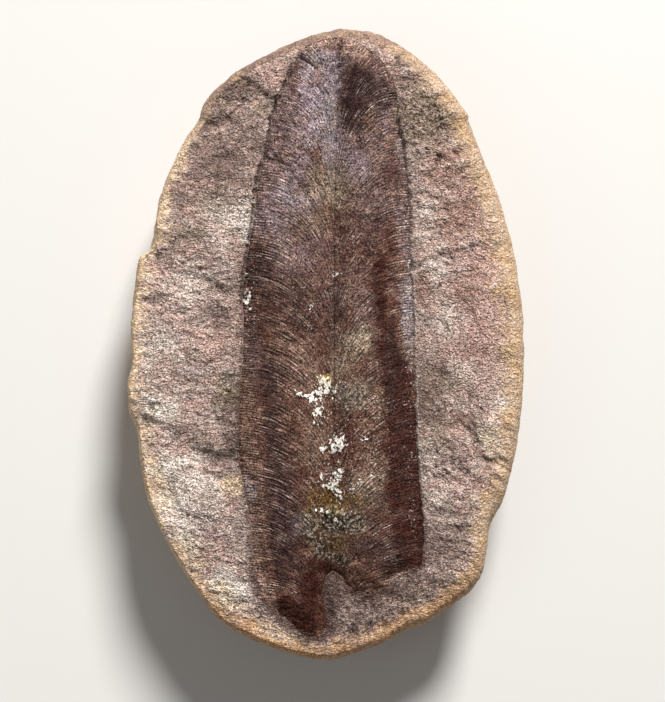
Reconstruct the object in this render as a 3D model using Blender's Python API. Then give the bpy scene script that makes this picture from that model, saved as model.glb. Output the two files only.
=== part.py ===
# Half of a split ironstone nodule with one fossil leaflet on its split face.
# It lies on its convex back, split face up, with the leaf tip towards +Y.
# Blender 4.5, metres, +Z up. The origin is below the middle, on the rest plane.

import math

import bmesh
import bpy
import numpy as np
from mathutils import Vector, noise

MM = 0.001

# Heights above the rest plane, in millimetres
FACE_Z = 14.9  # the split face beside the leaf
RIM_Z = 11.2  # the widest section of the nodule
BACK_DEPTH = 12.0  # from the widest section to the lowest point of the unworn back
FACE_CROWN = 0.5  # how far the split face falls from the leaf to its rim

# The leaf's relief, in millimetres
VAULT = 0.95  # rise of each half between midrib and margin
VALLEY_DEPTH = 0.55  # the sunken midrib
VALLEY_HALF_WIDTH = 0.16  # as a share of the half leaf
MARGIN_DROP = 0.65  # the margin rolls this far below the stone
MARGIN_START = 0.82  # where the roll begins, as a share of the half leaf
MARGIN_GAP = 0.35  # width of the furrow along the margin
HUMP_HEIGHT = 0.9  # stone that fills the notch in the leaf base

# The rind that rounds the rim, in millimetres
RIND_WIDTH = 1.7
RIND_EXTRA = 0.9  # added towards the right, taken off towards the left

RIND_TURN = math.radians(20)  # the direction in which it is widest
RIND_SQUASH = 0.6  # evens out the turn over the long nodule

# Uneven surfaces, each wave as its height, its size and its seed
FACE_WAVES = [(0.6, 11.0, 3.1), (0.45, 4.6, 8.7)]
LEAF_WAVES = [(0.18, 7.0, 5.5)]
BACK_WAVES = [(1.5, 10.0, 20.0), (0.75, 4.2, 31.0)]
FACE_LIFT = 0.15  # the broken stone over the face level
CALM_WAVES = 0.3  # share of the waves that is left beside the leaf
CALM_REACH = 0.3  # share of the way to the rim where they reach their height

LOWEST_BACK = 0.1  # the uneven back stays this high above the rest plane
PATCH_SHARE = 0.8  # an inner ring of the flat patch, as a share of its edge

# Mesh: points round each ring, and rings in each zone
AROUND = 128
LEAF_RINGS = 9
FACE_RINGS = 12
RIM_RINGS = 4
BACK_RINGS = 9

# Outline of the nodule from tip to base, in millimetres, with its rim notches
NODULE_LEFT = [
    (2.0, 45.9), (-3.8, 44.3), (-12.0, 40.2), (-17.2, 35.9), (-18.7, 32.4), (-21.3, 28.3),
    (-24.2, 21.3), (-25.5, 14.0), (-27.3, 12.0), (-28.4, 2.8), (-28.4, -2.6), (-28.9, -6.1),
    (-28.7, -9.9), (-27.6, -12.8), (-26.0, -22.7), (-21.0, -32.8), (-15.5, -40.2),
    (-10.5, -43.3), (-2.8, -45.9), (1.3, -46.1),
]
NODULE_RIGHT = [
    (2.0, 45.9), (7.1, 45.2), (11.5, 42.9), (15.9, 39.4), (20.4, 33.8), (20.8, 32.4),
    (21.9, 29.5), (25.8, 19.4), (28.1, 9.3), (28.9, -2.3), (28.0, -14.0), (26.0, -22.3),
    (23.9, -26.8), (22.3, -34.6), (15.6, -40.2), (11.5, -42.0), (7.1, -44.3), (1.3, -46.1),
]

# Margins of the leaf from tip to base, in millimetres, closed across the notch
LEAF_LEFT = [
    (1.3, 44.2), (-3.1, 42.7), (-6.1, 37.2), (-8.7, 28.3), (-11.1, 15.2), (-12.2, 7.9),
    (-12.4, -3.8), (-12.7, -15.5), (-11.1, -25.7), (-9.9, -34.7), (-8.5, -37.6),
    (-3.5, -42.0), (-0.8, -42.3),
]
LEAF_RIGHT = [
    (1.3, 44.2), (5.1, 43.2), (9.8, 37.8), (11.8, 24.6), (12.7, 6.3), (13.4, -16.9),
    (14.3, -27.8), (14.0, -31.8), (9.6, -34.1), (4.0, -37.4), (0.4, -41.2), (-0.8, -42.3),
]
MIDRIB_TOP = (1.5, 37.5)
MIDRIB_BASE = (0.7, -30.0)
NOTCH_TIP = (0.7, -31.0)  # where the two basal lobes part
NOTCH_MOUTH = (4.8, -39.6)
NOTCH_HALF_WIDTH = 2.7

# Ledges of the split face: path, depth at the path, and reach to its left and right
LEDGES = [
    ([(-25.1, 13.0), (-20.4, 10.1), (-12.8, 6.7)], 0.55, 0.9, 2.8),
    ([(-26.7, -10.9), (-22.2, -12.5), (-21.1, -15.6), (-14.4, -16.8)], 0.9, 1.8, 5.0),
    ([(-19.2, 32.8), (-14.6, 31.4), (-11.7, 34.8)], 0.7, 0.8, 1.5),
    ([(19.7, 31.5), (17.1, 28.1), (15.0, 23.8)], 0.5, 1.0, 0.8),
    ([(13.6, -3.0), (17.1, -4.7), (21.1, -8.2)], 0.7, 0.8, 2.2),
    ([(18.4, -10.6), (20.7, -13.3), (22.3, -16.5)], 0.7, 2.6, 0.7),
    ([(16.6, -37.3), (11.1, -39.4), (9.2, -41.1)], 0.7, 2.0, 0.8),
]

# Raised flakes and pits of the split face: centre, radii, turn in degrees, height
FLAKES = [
    ((-8.0, 38.9), (3.4, 2.1), 32.0, 0.8),
    ((-12.4, 36.6), (1.9, 1.1), 20.0, -0.7),
    ((-18.5, -21.5), (4.6, 3.2), -60.0, 0.45),
    ((24.0, -14.0), (2.2, 3.4), 20.0, 0.45),
    ((17.0, 33.5), (3.6, 3.0), 40.0, -0.35),
    ((11.6, 40.6), (2.0, 0.8), -25.0, -0.6),
]


def smooth_path(points, count):
    """Points at equal steps along a Catmull-Rom curve, both ends included."""
    knots = [Vector(p) for p in points]
    dense = []
    for i in range(len(knots) - 1):
        before = knots[max(i - 1, 0)]
        start, end = knots[i], knots[i + 1]
        after = knots[min(i + 2, len(knots) - 1)]
        for step in range(12):
            t = step / 12
            dense.append(0.5 * (
                2 * start
                + (end - before) * t
                + (2 * before - 5 * start + 4 * end - after) * t**2
                + (3 * start - before - 3 * end + after) * t**3
            ))
    dense.append(knots[-1])
    dense = np.array(dense)
    along = np.concatenate([[0.0], np.cumsum(np.linalg.norm(np.diff(dense, axis=0), axis=1))])
    wanted = np.linspace(0.0, along[-1], count)
    return np.column_stack([np.interp(wanted, along, dense[:, k]) for k in (0, 1)])


def closed_ring(left, right):
    """One ring from tip to base down the right side and back up the left."""
    half = AROUND // 2 + 1
    down = smooth_path(right, half)
    up = smooth_path(left, half)[::-1]
    return np.vstack([down, up[1:-1]])


def smoothstep(low, high, value):
    t = np.clip((value - low) / (high - low), 0.0, 1.0)
    return t * t * (3.0 - 2.0 * t)


def wave_height(xy, waves):
    """Smooth uneven height over the plane, for each row of xy."""
    total = np.zeros(len(xy))
    for height, size, seed in waves:
        total += [height * noise.noise(Vector((x / size, y / size, seed))) for x, y in xy]
    return total


def ledge_height(xy, path, depth, reach_left, reach_right):
    """A break in the face: lowest at the path, climbing back over each reach."""
    nearest = np.full(len(xy), np.inf)
    side = np.zeros(len(xy))
    for start, end in zip(path[:-1], path[1:]):
        a = np.array(start)
        run = np.array(end) - a
        t = np.clip((xy - a) @ run / (run @ run), 0.0, 1.0)
        away = xy - a - t[:, None] * run
        distance = np.linalg.norm(away, axis=1)
        closer = distance < nearest
        nearest = np.where(closer, distance, nearest)
        side = np.where(closer, run[0] * away[:, 1] - run[1] * away[:, 0], side)
    reach = np.where(side > 0.0, reach_left, reach_right)
    return -depth * np.exp(-nearest / reach)


def flake_height(xy, centre, radii, turn, height):
    """A flat-topped flake, or a pit when the height is negative."""
    c, s = math.cos(math.radians(turn)), math.sin(math.radians(turn))
    off = xy - np.array(centre)
    u = (off[:, 0] * c + off[:, 1] * s) / radii[0]
    v = (off[:, 1] * c - off[:, 0] * s) / radii[1]
    return height * smoothstep(1.15, 0.75, np.hypot(u, v))


def stone_relief(xy, share):
    """Height of the broken stone over the face level; share is 0 at the leaf, 1 at the rim."""
    calm = CALM_WAVES + (1.0 - CALM_WAVES) * smoothstep(0.0, CALM_REACH, share)
    relief = FACE_LIFT + wave_height(xy, FACE_WAVES) * calm
    for ledge in LEDGES:
        relief = relief + ledge_height(xy, *ledge)
    for flake in FLAKES:
        relief = relief + flake_height(xy, *flake)
    return relief


def leaf_relief(xy, across):
    """Height of the leaf over the face level; across is 0 at the midrib, 1 at the margin."""
    vault = VAULT * (1.0 - np.abs(2.0 * across - 1.0) ** 2.4)
    valley = -VALLEY_DEPTH * np.exp(-((across / VALLEY_HALF_WIDTH) ** 2))
    margin = -MARGIN_DROP * smoothstep(MARGIN_START, 1.0, across)
    return vault + valley + margin + wave_height(xy, LEAF_WAVES)


def notch_weight(xy):
    """1 on the stone between the basal lobes, 0 on the leaf."""
    tip, mouth = np.array(NOTCH_TIP), np.array(NOTCH_MOUTH)
    run = mouth - tip
    t = (xy - tip) @ run / (run @ run)
    off = np.abs(run[0] * (xy[:, 1] - tip[1]) - run[1] * (xy[:, 0] - tip[0]))
    off = off / np.linalg.norm(run)
    half = NOTCH_HALF_WIDTH * np.clip(t, 0.0, 1.2)
    return smoothstep(-0.5, 0.8, half - off) * smoothstep(0.0, 0.25, t)


def rind_width(ring):
    """The rounded rim is wider on the right and at the tip."""
    turn = np.arctan2(ring[:, 1] * RIND_SQUASH, ring[:, 0])
    return RIND_WIDTH + RIND_EXTRA * np.cos(turn - RIND_TURN)


def leaf_rings(margin):
    """Rings from the leaf margin in to the midrib, where left and right meet."""
    order = np.arange(AROUND)
    down = np.minimum(order, AROUND - order) / (AROUND / 2)
    midrib = np.outer(1.0 - down, MIDRIB_TOP) + np.outer(down, MIDRIB_BASE)
    rings = []
    for k in range(LEAF_RINGS + 1):
        across = np.full(AROUND, 1.0 - k / LEAF_RINGS)
        xy = midrib + (margin - midrib) * across[:, None]
        z = FACE_Z + leaf_relief(xy, across) + HUMP_HEIGHT * notch_weight(xy)
        rings.append(np.column_stack([xy, z]))
    return rings


def face_rings(margin, edge):
    """Rings across the broken stone, from the furrow at the leaf to the rim."""
    outward = (edge - margin) / np.linalg.norm(edge - margin, axis=1)[:, None]
    start = margin + outward * MARGIN_GAP
    rings = []
    for k in range(FACE_RINGS + 1):
        share = k / FACE_RINGS
        xy = start + (edge - start) * share
        relief = stone_relief(xy, share) - FACE_CROWN * share**2
        rings.append(np.column_stack([xy, FACE_Z + relief]))
    return rings


def rim_rings(edge_ring, outline):
    """A quarter round from the rim of the split face to the widest section."""
    rings = []
    for k in range(1, RIM_RINGS + 1):
        angle = math.pi / 2 * k / RIM_RINGS
        inset = 1.0 - math.sin(angle)
        xy = outline + (edge_ring[:, :2] - outline) * inset
        z = RIM_Z + (edge_ring[:, 2] - RIM_Z) * math.cos(angle)
        rings.append(np.column_stack([xy, z]))
    return rings


def back_rings(outline):
    """The domed back, cut off by the flat patch on which the nodule lies."""
    last = math.asin(RIM_Z / BACK_DEPTH)
    outward = outline / np.linalg.norm(outline, axis=1)[:, None]
    rings = []
    for k in range(1, BACK_RINGS + 1):
        angle = last * k / BACK_RINGS
        xy = outline * math.cos(angle)
        lump = wave_height(xy, BACK_WAVES) * math.sin(math.pi * k / BACK_RINGS)
        xy = xy + outward * (lump * math.cos(angle))[:, None]
        z = RIM_Z - (BACK_DEPTH + lump) * math.sin(angle)
        rings.append(np.column_stack([xy, np.maximum(z, LOWEST_BACK)]))
    patch = rings[-1] * (PATCH_SHARE, PATCH_SHARE, 0.0)
    rings[-1][:, 2] = 0.0
    return rings + [patch]


def extrude_ring(bm, verts, target):
    """Extrudes a closed ring of vertices and moves the copy to the target points."""
    edges = [v.link_edges for v in verts]
    loop = [next(e for e in edges[i] if e.other_vert(v) is verts[(i + 1) % len(verts)])
            for i, v in enumerate(verts)]
    made = bmesh.ops.extrude_edge_only(bm, edges=loop)["geom"]
    fresh = {item for item in made if isinstance(item, bmesh.types.BMVert)}
    copies = []
    for v, point in zip(verts, target):
        twin = next(e.other_vert(v) for e in v.link_edges if e.other_vert(v) in fresh)
        twin.co = Vector(point) * MM
        copies.append(twin)
    return copies


def stone_material():
    material = bpy.data.materials.new("ironstone")
    material.use_nodes = True
    shader = material.node_tree.nodes["Principled BSDF"]
    shader.inputs["Base Color"].default_value = (0.30, 0.22, 0.18, 1.0)
    shader.inputs["Roughness"].default_value = 0.85
    shader.inputs["Metallic"].default_value = 0.0
    return material


def build_nodule(collection):
    outline = closed_ring(NODULE_LEFT, NODULE_RIGHT)
    middle = (outline.max(axis=0) + outline.min(axis=0)) / 2
    margin = closed_ring(LEAF_LEFT, LEAF_RIGHT)
    inward = margin - outline
    inward /= np.linalg.norm(inward, axis=1)[:, None]
    edge = outline + inward * rind_width(outline)[:, None]

    leaf = leaf_rings(margin)
    face = face_rings(margin, edge)
    rim = rim_rings(face[-1], outline)
    back = back_rings(outline)

    bm = bmesh.new()
    first = bmesh.ops.create_circle(bm, segments=AROUND, radius=1.0)["verts"]
    for v, point in zip(first, leaf[0]):
        v.co = Vector(point) * MM
    verts = first
    for ring in leaf[1:]:
        verts = extrude_ring(bm, verts, ring)
    verts = first
    for ring in face + rim + back:
        verts = extrude_ring(bm, verts, ring)
    bmesh.ops.contextual_create(bm, geom=verts)

    bmesh.ops.remove_doubles(bm, verts=bm.verts, dist=0.00001)
    bmesh.ops.translate(bm, verts=bm.verts, vec=(-middle[0] * MM, -middle[1] * MM, 0.0))
    bmesh.ops.recalc_face_normals(bm, faces=bm.faces)

    mesh = bpy.data.meshes.new("nodule_half")
    bm.to_mesh(mesh)
    bm.free()
    mesh.shade_smooth()
    mesh.set_sharp_from_angle(angle=math.radians(50))
    mesh.materials.append(stone_material())
    nodule = bpy.data.objects.new("nodule_half", mesh)
    collection.objects.link(nodule)


def main():
    for item in list(bpy.data.objects):
        bpy.data.objects.remove(item, do_unlink=True)
    collection = bpy.data.collections.new("fossil_leaf_nodule")
    bpy.context.scene.collection.children.link(collection)
    build_nodule(collection)


main()
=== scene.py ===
# Half of a split ironstone nodule with one seed-fern leaflet in its face, lying on its back.
# Shapes are worked out in millimetres and turned to metres as they go into a mesh.

import math
import bmesh
import bpy
import numpy as np
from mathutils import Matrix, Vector, noise


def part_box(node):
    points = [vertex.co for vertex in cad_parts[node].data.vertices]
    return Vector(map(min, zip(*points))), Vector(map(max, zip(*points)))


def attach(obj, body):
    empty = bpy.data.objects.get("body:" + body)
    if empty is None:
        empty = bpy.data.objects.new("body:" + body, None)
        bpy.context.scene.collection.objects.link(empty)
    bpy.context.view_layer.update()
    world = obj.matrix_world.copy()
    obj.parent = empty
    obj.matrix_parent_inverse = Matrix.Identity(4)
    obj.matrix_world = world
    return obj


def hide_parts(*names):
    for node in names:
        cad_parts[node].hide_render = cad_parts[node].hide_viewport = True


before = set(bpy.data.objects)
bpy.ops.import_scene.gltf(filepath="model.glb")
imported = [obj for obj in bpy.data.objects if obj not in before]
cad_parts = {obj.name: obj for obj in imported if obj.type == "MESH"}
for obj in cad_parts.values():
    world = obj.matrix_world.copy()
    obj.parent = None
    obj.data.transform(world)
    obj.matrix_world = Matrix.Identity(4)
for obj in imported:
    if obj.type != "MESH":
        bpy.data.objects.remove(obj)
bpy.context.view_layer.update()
print("frame loaded")


# small helpers

def smoothstep(low, high, value):
    t = np.clip((value - low) / (high - low), 0.0, 1.0)
    return t * t * (3.0 - 2.0 * t)


def pathPoints(points, count):  # equal steps along a Catmull-Rom curve, ends included
    spanSteps = 12  # between two of the given points
    knots = [Vector(p) for p in points]
    dense = []
    for i in range(len(knots) - 1):
        before = knots[max(i - 1, 0)]
        start, end = knots[i], knots[i + 1]
        after = knots[min(i + 2, len(knots) - 1)]
        for step in range(spanSteps):
            t = step / spanSteps
            dense.append(0.5 * (
                2 * start
                + (end - before) * t
                + (2 * before - 5 * start + 4 * end - after) * t**2
                + (3 * start - before - 3 * end + after) * t**3
            ))
    dense.append(knots[-1])
    dense = np.array(dense)
    along = np.concatenate([[0.0], np.cumsum(np.linalg.norm(np.diff(dense, axis=0), axis=1))])
    wanted = np.linspace(0.0, along[-1], count)
    return np.column_stack([np.interp(wanted, along, dense[:, k]) for k in (0, 1)])


def closedRing(left, right, count):  # from the tip down the right side and back up the left
    half = count // 2 + 1
    return np.vstack([pathPoints(right, half), pathPoints(left, half)[::-1][1:-1]])


def ringDistance(xy, ring):  # distance to a closed ring, positive inside it
    x, y = xy[:, 0], xy[:, 1]
    nearest = np.full(len(xy), np.inf)
    inside = np.zeros(len(xy), bool)
    for a, b in zip(ring, np.roll(ring, -1, axis=0)):
        run = b - a
        t = np.clip(((x - a[0]) * run[0] + (y - a[1]) * run[1]) / (run @ run), 0.0, 1.0)
        away = (x - a[0] - t * run[0]) ** 2 + (y - a[1] - t * run[1]) ** 2
        nearest = np.minimum(nearest, away)
        if abs(run[1]) > 1e-9:
            crosses = (a[1] > y) != (b[1] > y)
            inside ^= crosses & (x < a[0] + (y - a[1]) * run[0] / run[1])
    return np.where(inside, 1.0, -1.0) * np.sqrt(nearest)


def waves(xy, layers):  # smooth uneven height: each layer is height, size, seed
    total = np.zeros(len(xy))
    for height, size, seed in layers:
        total += [height * noise.noise(Vector((x / size, y / size, seed))) for x, y in xy]
    return total


def grainNoise(points, sizes, seed, octaves, decay=0.7):  # fractal noise from about -1 to 1
    sx, sy, sz = sizes
    return np.array([noise.fractal(Vector((x / sx, y / sy, z / sz + seed)), decay, 2.1, octaves)
                     for x, y, z in points])


def flatNoise(xy, sizes, seed, octaves, decay=0.7):  # the same over a plane
    return grainNoise(np.column_stack([xy, np.zeros(len(xy))]), (*sizes, 1.0), seed, octaves, decay)


def ledgeHeight(xy, path, depth, reachLeft, reachRight, rounding=0.0):  # lowest at the path
    nearest = np.full(len(xy), np.inf)
    side = np.zeros(len(xy))
    for start, end in zip(path[:-1], path[1:]):
        a = np.array(start)
        run = np.array(end) - a
        t = np.clip((xy - a) @ run / (run @ run), 0.0, 1.0)
        away = xy - a - t[:, None] * run
        distance = np.linalg.norm(away, axis=1)
        closer = distance < nearest
        nearest = np.where(closer, distance, nearest)
        side = np.where(closer, run[0] * away[:, 1] - run[1] * away[:, 0], side)
    nearest = np.sqrt(nearest**2 + rounding**2) - rounding
    return -depth * np.exp(-nearest / np.where(side > 0.0, reachLeft, reachRight))


def ovalRadius(xy, centre, radii, turn):  # 1 on the edge of a turned oval
    c, s = math.cos(math.radians(turn)), math.sin(math.radians(turn))
    off = xy - np.array(centre)
    u = (off[:, 0] * c + off[:, 1] * s) / radii[0]
    v = (off[:, 1] * c - off[:, 0] * s) / radii[1]
    return np.hypot(u, v)


def stainMask(xy, marks, wobble, soft=0.9):  # soft ragged patches: x, y, two radii, turn, strength
    total = np.zeros(len(xy))
    for x, y, rx, ry, turn, strength in marks:
        radius = ovalRadius(xy, (x, y), (rx, ry), turn) + wobble
        # two thirds of the soft edge lie inside the oval
        total = np.maximum(total, strength * smoothstep(1.0 + soft / 3, 1.0 - soft * 2 / 3, radius))
    return total


def bandMask(xy, band, wobble):  # a long stripe with one crisp side, its edge given from the top down
    edge = np.array(band["edge"])[::-1]
    bottom, top = edge[0, 1], edge[-1, 1]
    y = xy[:, 1]
    across = xy[:, 0] - np.interp(y, edge[:, 1], edge[:, 0]) + 1.5 * wobble
    width = np.interp(y, edge[:, 1], band["widths"][::-1])
    stripe = smoothstep(-0.5, 0.7, across) * smoothstep(width, width - band["farFade"], across)
    ends = smoothstep(top, top - 3.0, y) * smoothstep(bottom, bottom + 2.0, y)
    thinned = 1.0 - 0.5 * np.clip(np.abs(wobble) * 2.0 - 0.2, 0.0, 1.0)
    return band["strength"] * stripe * ends * thinned


def hexColor(code):  # sRGB hex to linear RGBA
    parts = [int(code[i:i + 2], 16) / 255 for i in (1, 3, 5)]
    return [p / 12.92 if p <= 0.04045 else ((p + 0.055) / 1.055) ** 2.4 for p in parts] + [1.0]


def feed(socket, source):  # a value is set, another node's output is linked
    if isinstance(source, bpy.types.NodeSocket):
        socket.id_data.links.new(source, socket)
    else:
        socket.default_value = source


def addNode(tree, kind, inputs=None, output=0, **settings):
    node = tree.nodes.new(kind)
    for name, value in settings.items():
        setattr(node, name, value)
    for socket, source in (inputs or {}).items():
        feed(node.inputs[socket], source)
    return node.outputs[output]


def gridSheet(points, masks):  # a bmesh grid bent to the points, with a float layer for each mask
    rows, columns = points.shape[:2]
    bm = bmesh.new()
    bmesh.ops.create_grid(bm, x_segments=columns - 1, y_segments=rows - 1, size=1.0)
    layers = {name: bm.verts.layers.float.new(name) for name in masks}
    for vert, place in zip(bm.verts, points.reshape(-1, 3)):
        vert.co = place
    for name, values in masks.items():
        layer = layers[name]
        for vert, value in zip(bm.verts, values.ravel()):
            vert[layer] = value
    return bm


def finishPiece(bm, name, material):
    bmesh.ops.recalc_face_normals(bm, faces=bm.faces)
    mesh = bpy.data.meshes.new(name)
    bm.to_mesh(mesh)
    bm.free()
    mesh.shade_smooth()
    mesh.materials.append(material)
    piece = bpy.data.objects.new(name, mesh)
    bpy.context.scene.collection.objects.link(piece)
    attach(piece, "root")
    print(name, "has", sum(len(p.vertices) - 2 for p in mesh.polygons), "triangles")
    return piece


# the nodule's form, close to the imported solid's: lower and rounder ledges, two flakes left out

nodule = {
    "faceZ": 14.9,  # the split face beside the leaf
    "rimZ": 11.2,  # the widest section
    "backDepth": 12.0,  # from the widest section to the lowest point of the unworn back
    "faceCrown": 0.5,  # how far the face falls towards its rim
    "rindWidth": 1.7,
    "rindExtra": 0.9,  # wider towards the right, narrower towards the left
    "rindTurn": 20,
    "rindSquash": 0.6,
    "faceLift": 0.15,
    "faceWaves": [(0.6, 11.0, 3.1), (0.45, 4.6, 8.7)],
    "backWaves": [(1.5, 10.0, 20.0), (0.75, 4.2, 31.0)],
    "calmWaves": 0.3,  # share of the waves left beside the leaf
    "calmReach": 4.8,
    "lowestBack": 0.1,
    "left": [
        (2.0, 45.9), (-3.8, 44.3), (-12.0, 40.2), (-17.2, 35.9), (-18.7, 32.4), (-21.3, 28.3),
        (-24.2, 21.3), (-25.5, 14.0), (-27.3, 12.0), (-28.4, 2.8), (-28.4, -2.6), (-28.9, -6.1),
        (-28.7, -9.9), (-27.6, -12.8), (-26.0, -22.7), (-21.0, -32.8), (-15.5, -40.2),
        (-10.5, -43.3), (-2.8, -45.9), (1.3, -46.1),
    ],
    "right": [
        (2.0, 45.9), (7.1, 45.2), (11.5, 42.9), (15.9, 39.4), (20.4, 33.8), (20.8, 32.4),
        (21.9, 29.5), (25.8, 19.4), (28.1, 9.3), (28.9, -2.3), (28.0, -14.0), (26.0, -22.3),
        (23.9, -26.8), (22.3, -34.6), (15.6, -40.2), (11.5, -42.0), (7.1, -44.3), (1.3, -46.1),
    ],
    "ledgeShare": 0.65,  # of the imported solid's ledges
    "ledgeRounding": 0.6,
    # breaks in the face: path, depth, reach to the left and right of the path
    "ledges": [
        ([(-25.1, 13.0), (-20.4, 10.1), (-12.8, 6.7)], 0.55, 0.9, 2.8),
        ([(-26.7, -10.9), (-22.2, -12.5), (-21.1, -15.6), (-14.4, -16.8)], 0.9, 1.8, 5.0),
        ([(-19.2, 32.8), (-14.6, 31.4), (-11.7, 34.8)], 0.7, 0.8, 1.5),
        ([(19.7, 31.5), (17.1, 28.1), (15.0, 23.8)], 0.5, 1.0, 0.8),
        ([(13.6, -3.0), (17.1, -4.7), (21.1, -8.2)], 0.7, 0.8, 2.2),
        ([(18.4, -10.6), (20.7, -13.3), (22.3, -16.5)], 0.7, 2.6, 0.7),
        ([(16.6, -37.3), (11.1, -39.4), (9.2, -41.1)], 0.7, 2.0, 0.8),
    ],
    # raised flakes and pits: centre, radii, turn, height
    "flakes": [
        ((-18.5, -21.5), (4.6, 3.2), -60.0, 0.45),
        ((24.0, -14.0), (2.2, 3.4), 20.0, 0.45),
        ((17.0, 33.5), (3.6, 3.0), 40.0, -0.35),
        ((11.6, 40.6), (2.0, 0.8), -25.0, -0.6),
    ],
}

leaf = {
    "ringPoints": 760,
    "sideSteps": 300,
    "tipX": 1.3,  # parts the left margin from the right one
    "vault": 0.95,
    "vaultPower": 2.4,
    "vaultStart": (-0.5, 3.0),  # distances in from the margin
    "valleyDepth": 0.55,
    "valleyHalfWidth": 0.16,
    "valleyEnd": (44.0, 38.0),
    "marginDrop": 0.65,
    "marginReach": 2.2,  # how far in from the margin the leaf rolls down
    # where the margin's step fades: y towards the tip on each side, then down the leaf to the base
    "tipFadeRight": (32.0, 37.0),
    "tipFadeLeft": (40.0, 42.5),
    "flushRight": 32.0,
    "flushLeft": -4.0,
    "flushRun": 8.0,
    "flushShare": 0.7,
    "baseFlushShare": 0.85,
    "baseFade": (-31.0, -34.0),
    "hem": 0.3,  # how far the leaf runs on under the stone
    "hemDrop": 0.75,
    "crustHeight": 0.16,
    "sootDepth": 0.16,
    "waves": [(0.18, 7.0, 5.5)],
    "lumps": [(0.15, 2.4, 15.5), (0.1, 0.85, 25.5)],  # height, width, seed
    "raggedness": 0.24,
    "raggedSize": 0.9,
    # the true margin, with the lobes and the notch
    "left": [
        (1.3, 44.2), (-0.9, 43.7), (-3.1, 42.7), (-4.2, 41.6), (-6.1, 37.2), (-7.6, 33.8),
        (-8.7, 28.3), (-10.2, 22.2), (-11.1, 15.2), (-11.8, 11.5), (-12.2, 7.9), (-12.1, 2.0),
        (-12.4, -3.8), (-12.7, -9.5), (-12.7, -15.5), (-12.0, -20.6), (-11.1, -25.7),
        (-10.8, -30.8), (-9.9, -34.7), (-8.5, -37.6), (-5.8, -39.8), (-3.5, -42.0), (-1.2, -42.6),
        (0.1, -41.0), (-0.2, -37.9), (-0.4, -35.6), (0.1, -33.8), (0.9, -32.9),
    ],
    "right": [
        (1.3, 44.2), (3.5, 43.9), (5.1, 43.2), (7.6, 40.8), (9.8, 37.8), (10.8, 31.2),
        (11.8, 24.6), (12.1, 18.8), (12.2, 14.7), (12.7, 6.3), (12.8, -1.6), (13.1, -11.1),
        (13.4, -16.9), (13.9, -22.7), (14.3, -27.8), (14.0, -31.8), (12.1, -33.1), (9.6, -34.4),
        (7.8, -35.8), (6.3, -36.2), (4.4, -35.9), (3.0, -34.9), (2.0, -33.7), (0.9, -32.9),
    ],
    # the sides that the veins run out to, carried on past both ends of the leaf
    "veinLeft": [
        (-7.0, 60.0), (-7.0, 45.0), (-7.7, 33.8), (-8.7, 28.3), (-11.1, 15.2), (-12.2, 7.9),
        (-12.1, 2.0), (-12.7, -9.5), (-12.7, -15.5), (-11.1, -25.7), (-10.8, -30.8), (-9.4, -38.0),
        (-9.0, -46.0),
    ],
    "veinRight": [
        (9.0, 60.0), (9.2, 45.0), (9.8, 37.8), (11.8, 24.6), (12.2, 14.7), (12.8, -1.6),
        (13.4, -16.9), (14.3, -27.8), (14.2, -36.0), (14.0, -46.0),
    ],
    "midrib": [(2.2, 60.0), (2.0, 44.0), (1.3, 20.0), (1.2, -15.0), (0.7, -31.0), (0.4, -46.0)],
    "veinRise": 14.6,  # how far a vein climbs from the midrib to the margin
    "veinFoot": -43.6,  # no vein starts below this
    "footRise": 0.9,  # climb of the lowest veins, for each millimetre above the foot
    "leastRise": 0.4,
    "halfWidth": 12.5,
    "veinPitch": 0.38,  # at the margin; real ones stand down to 0.2 mm apart, too fine to show
    "veinWidth": 0.1,
    "veinHeight": 0.075,
    # creases and cracks of the leaf: path, depth, reach to each side
    "creases": [
        ([(-9.0, -12.0), (-8.8, -21.1), (-8.2, -28.4), (-7.4, -33.6)], 0.22, 0.3, 0.7),
        ([(11.3, -4.0), (11.2, -14.0), (11.5, -20.8), (13.0, -31.0)], 0.2, 0.6, 0.3),
        ([(8.4, 17.0), (8.1, 4.0), (9.6, -4.0)], 0.18, 0.7, 0.3),
        ([(-4.3, 41.7), (-1.3, 39.5)], 0.55, 0.25, 0.45),
        ([(-8.9, 27.1), (-5.4, 25.4), (-3.6, 22.5)], 0.28, 0.25, 1.6),
        ([(7.2, 32.0), (9.8, 29.8)], 0.3, 0.3, 0.6),
    ],
}

sideTable = {}
for sideName in ("veinLeft", "veinRight", "midrib"):
    sideTable[sideName] = pathPoints(leaf[sideName], leaf["sideSteps"])[::-1]
leafRing = closedRing(leaf["left"], leaf["right"], leaf["ringPoints"])
leafRing += leaf["raggedness"] * np.array([
    [noise.noise(Vector((x / leaf["raggedSize"], y / leaf["raggedSize"], seed))) for seed in (1.5, 7.5)]
    for x, y in leafRing])


def sideX(name, y):
    table = sideTable[name]
    return np.interp(y, table[:, 1], table[:, 0])


def nearBase(y):  # 0 up the leaf, 1 at its lobed base
    return smoothstep(*leaf["baseFade"], y)


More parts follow.
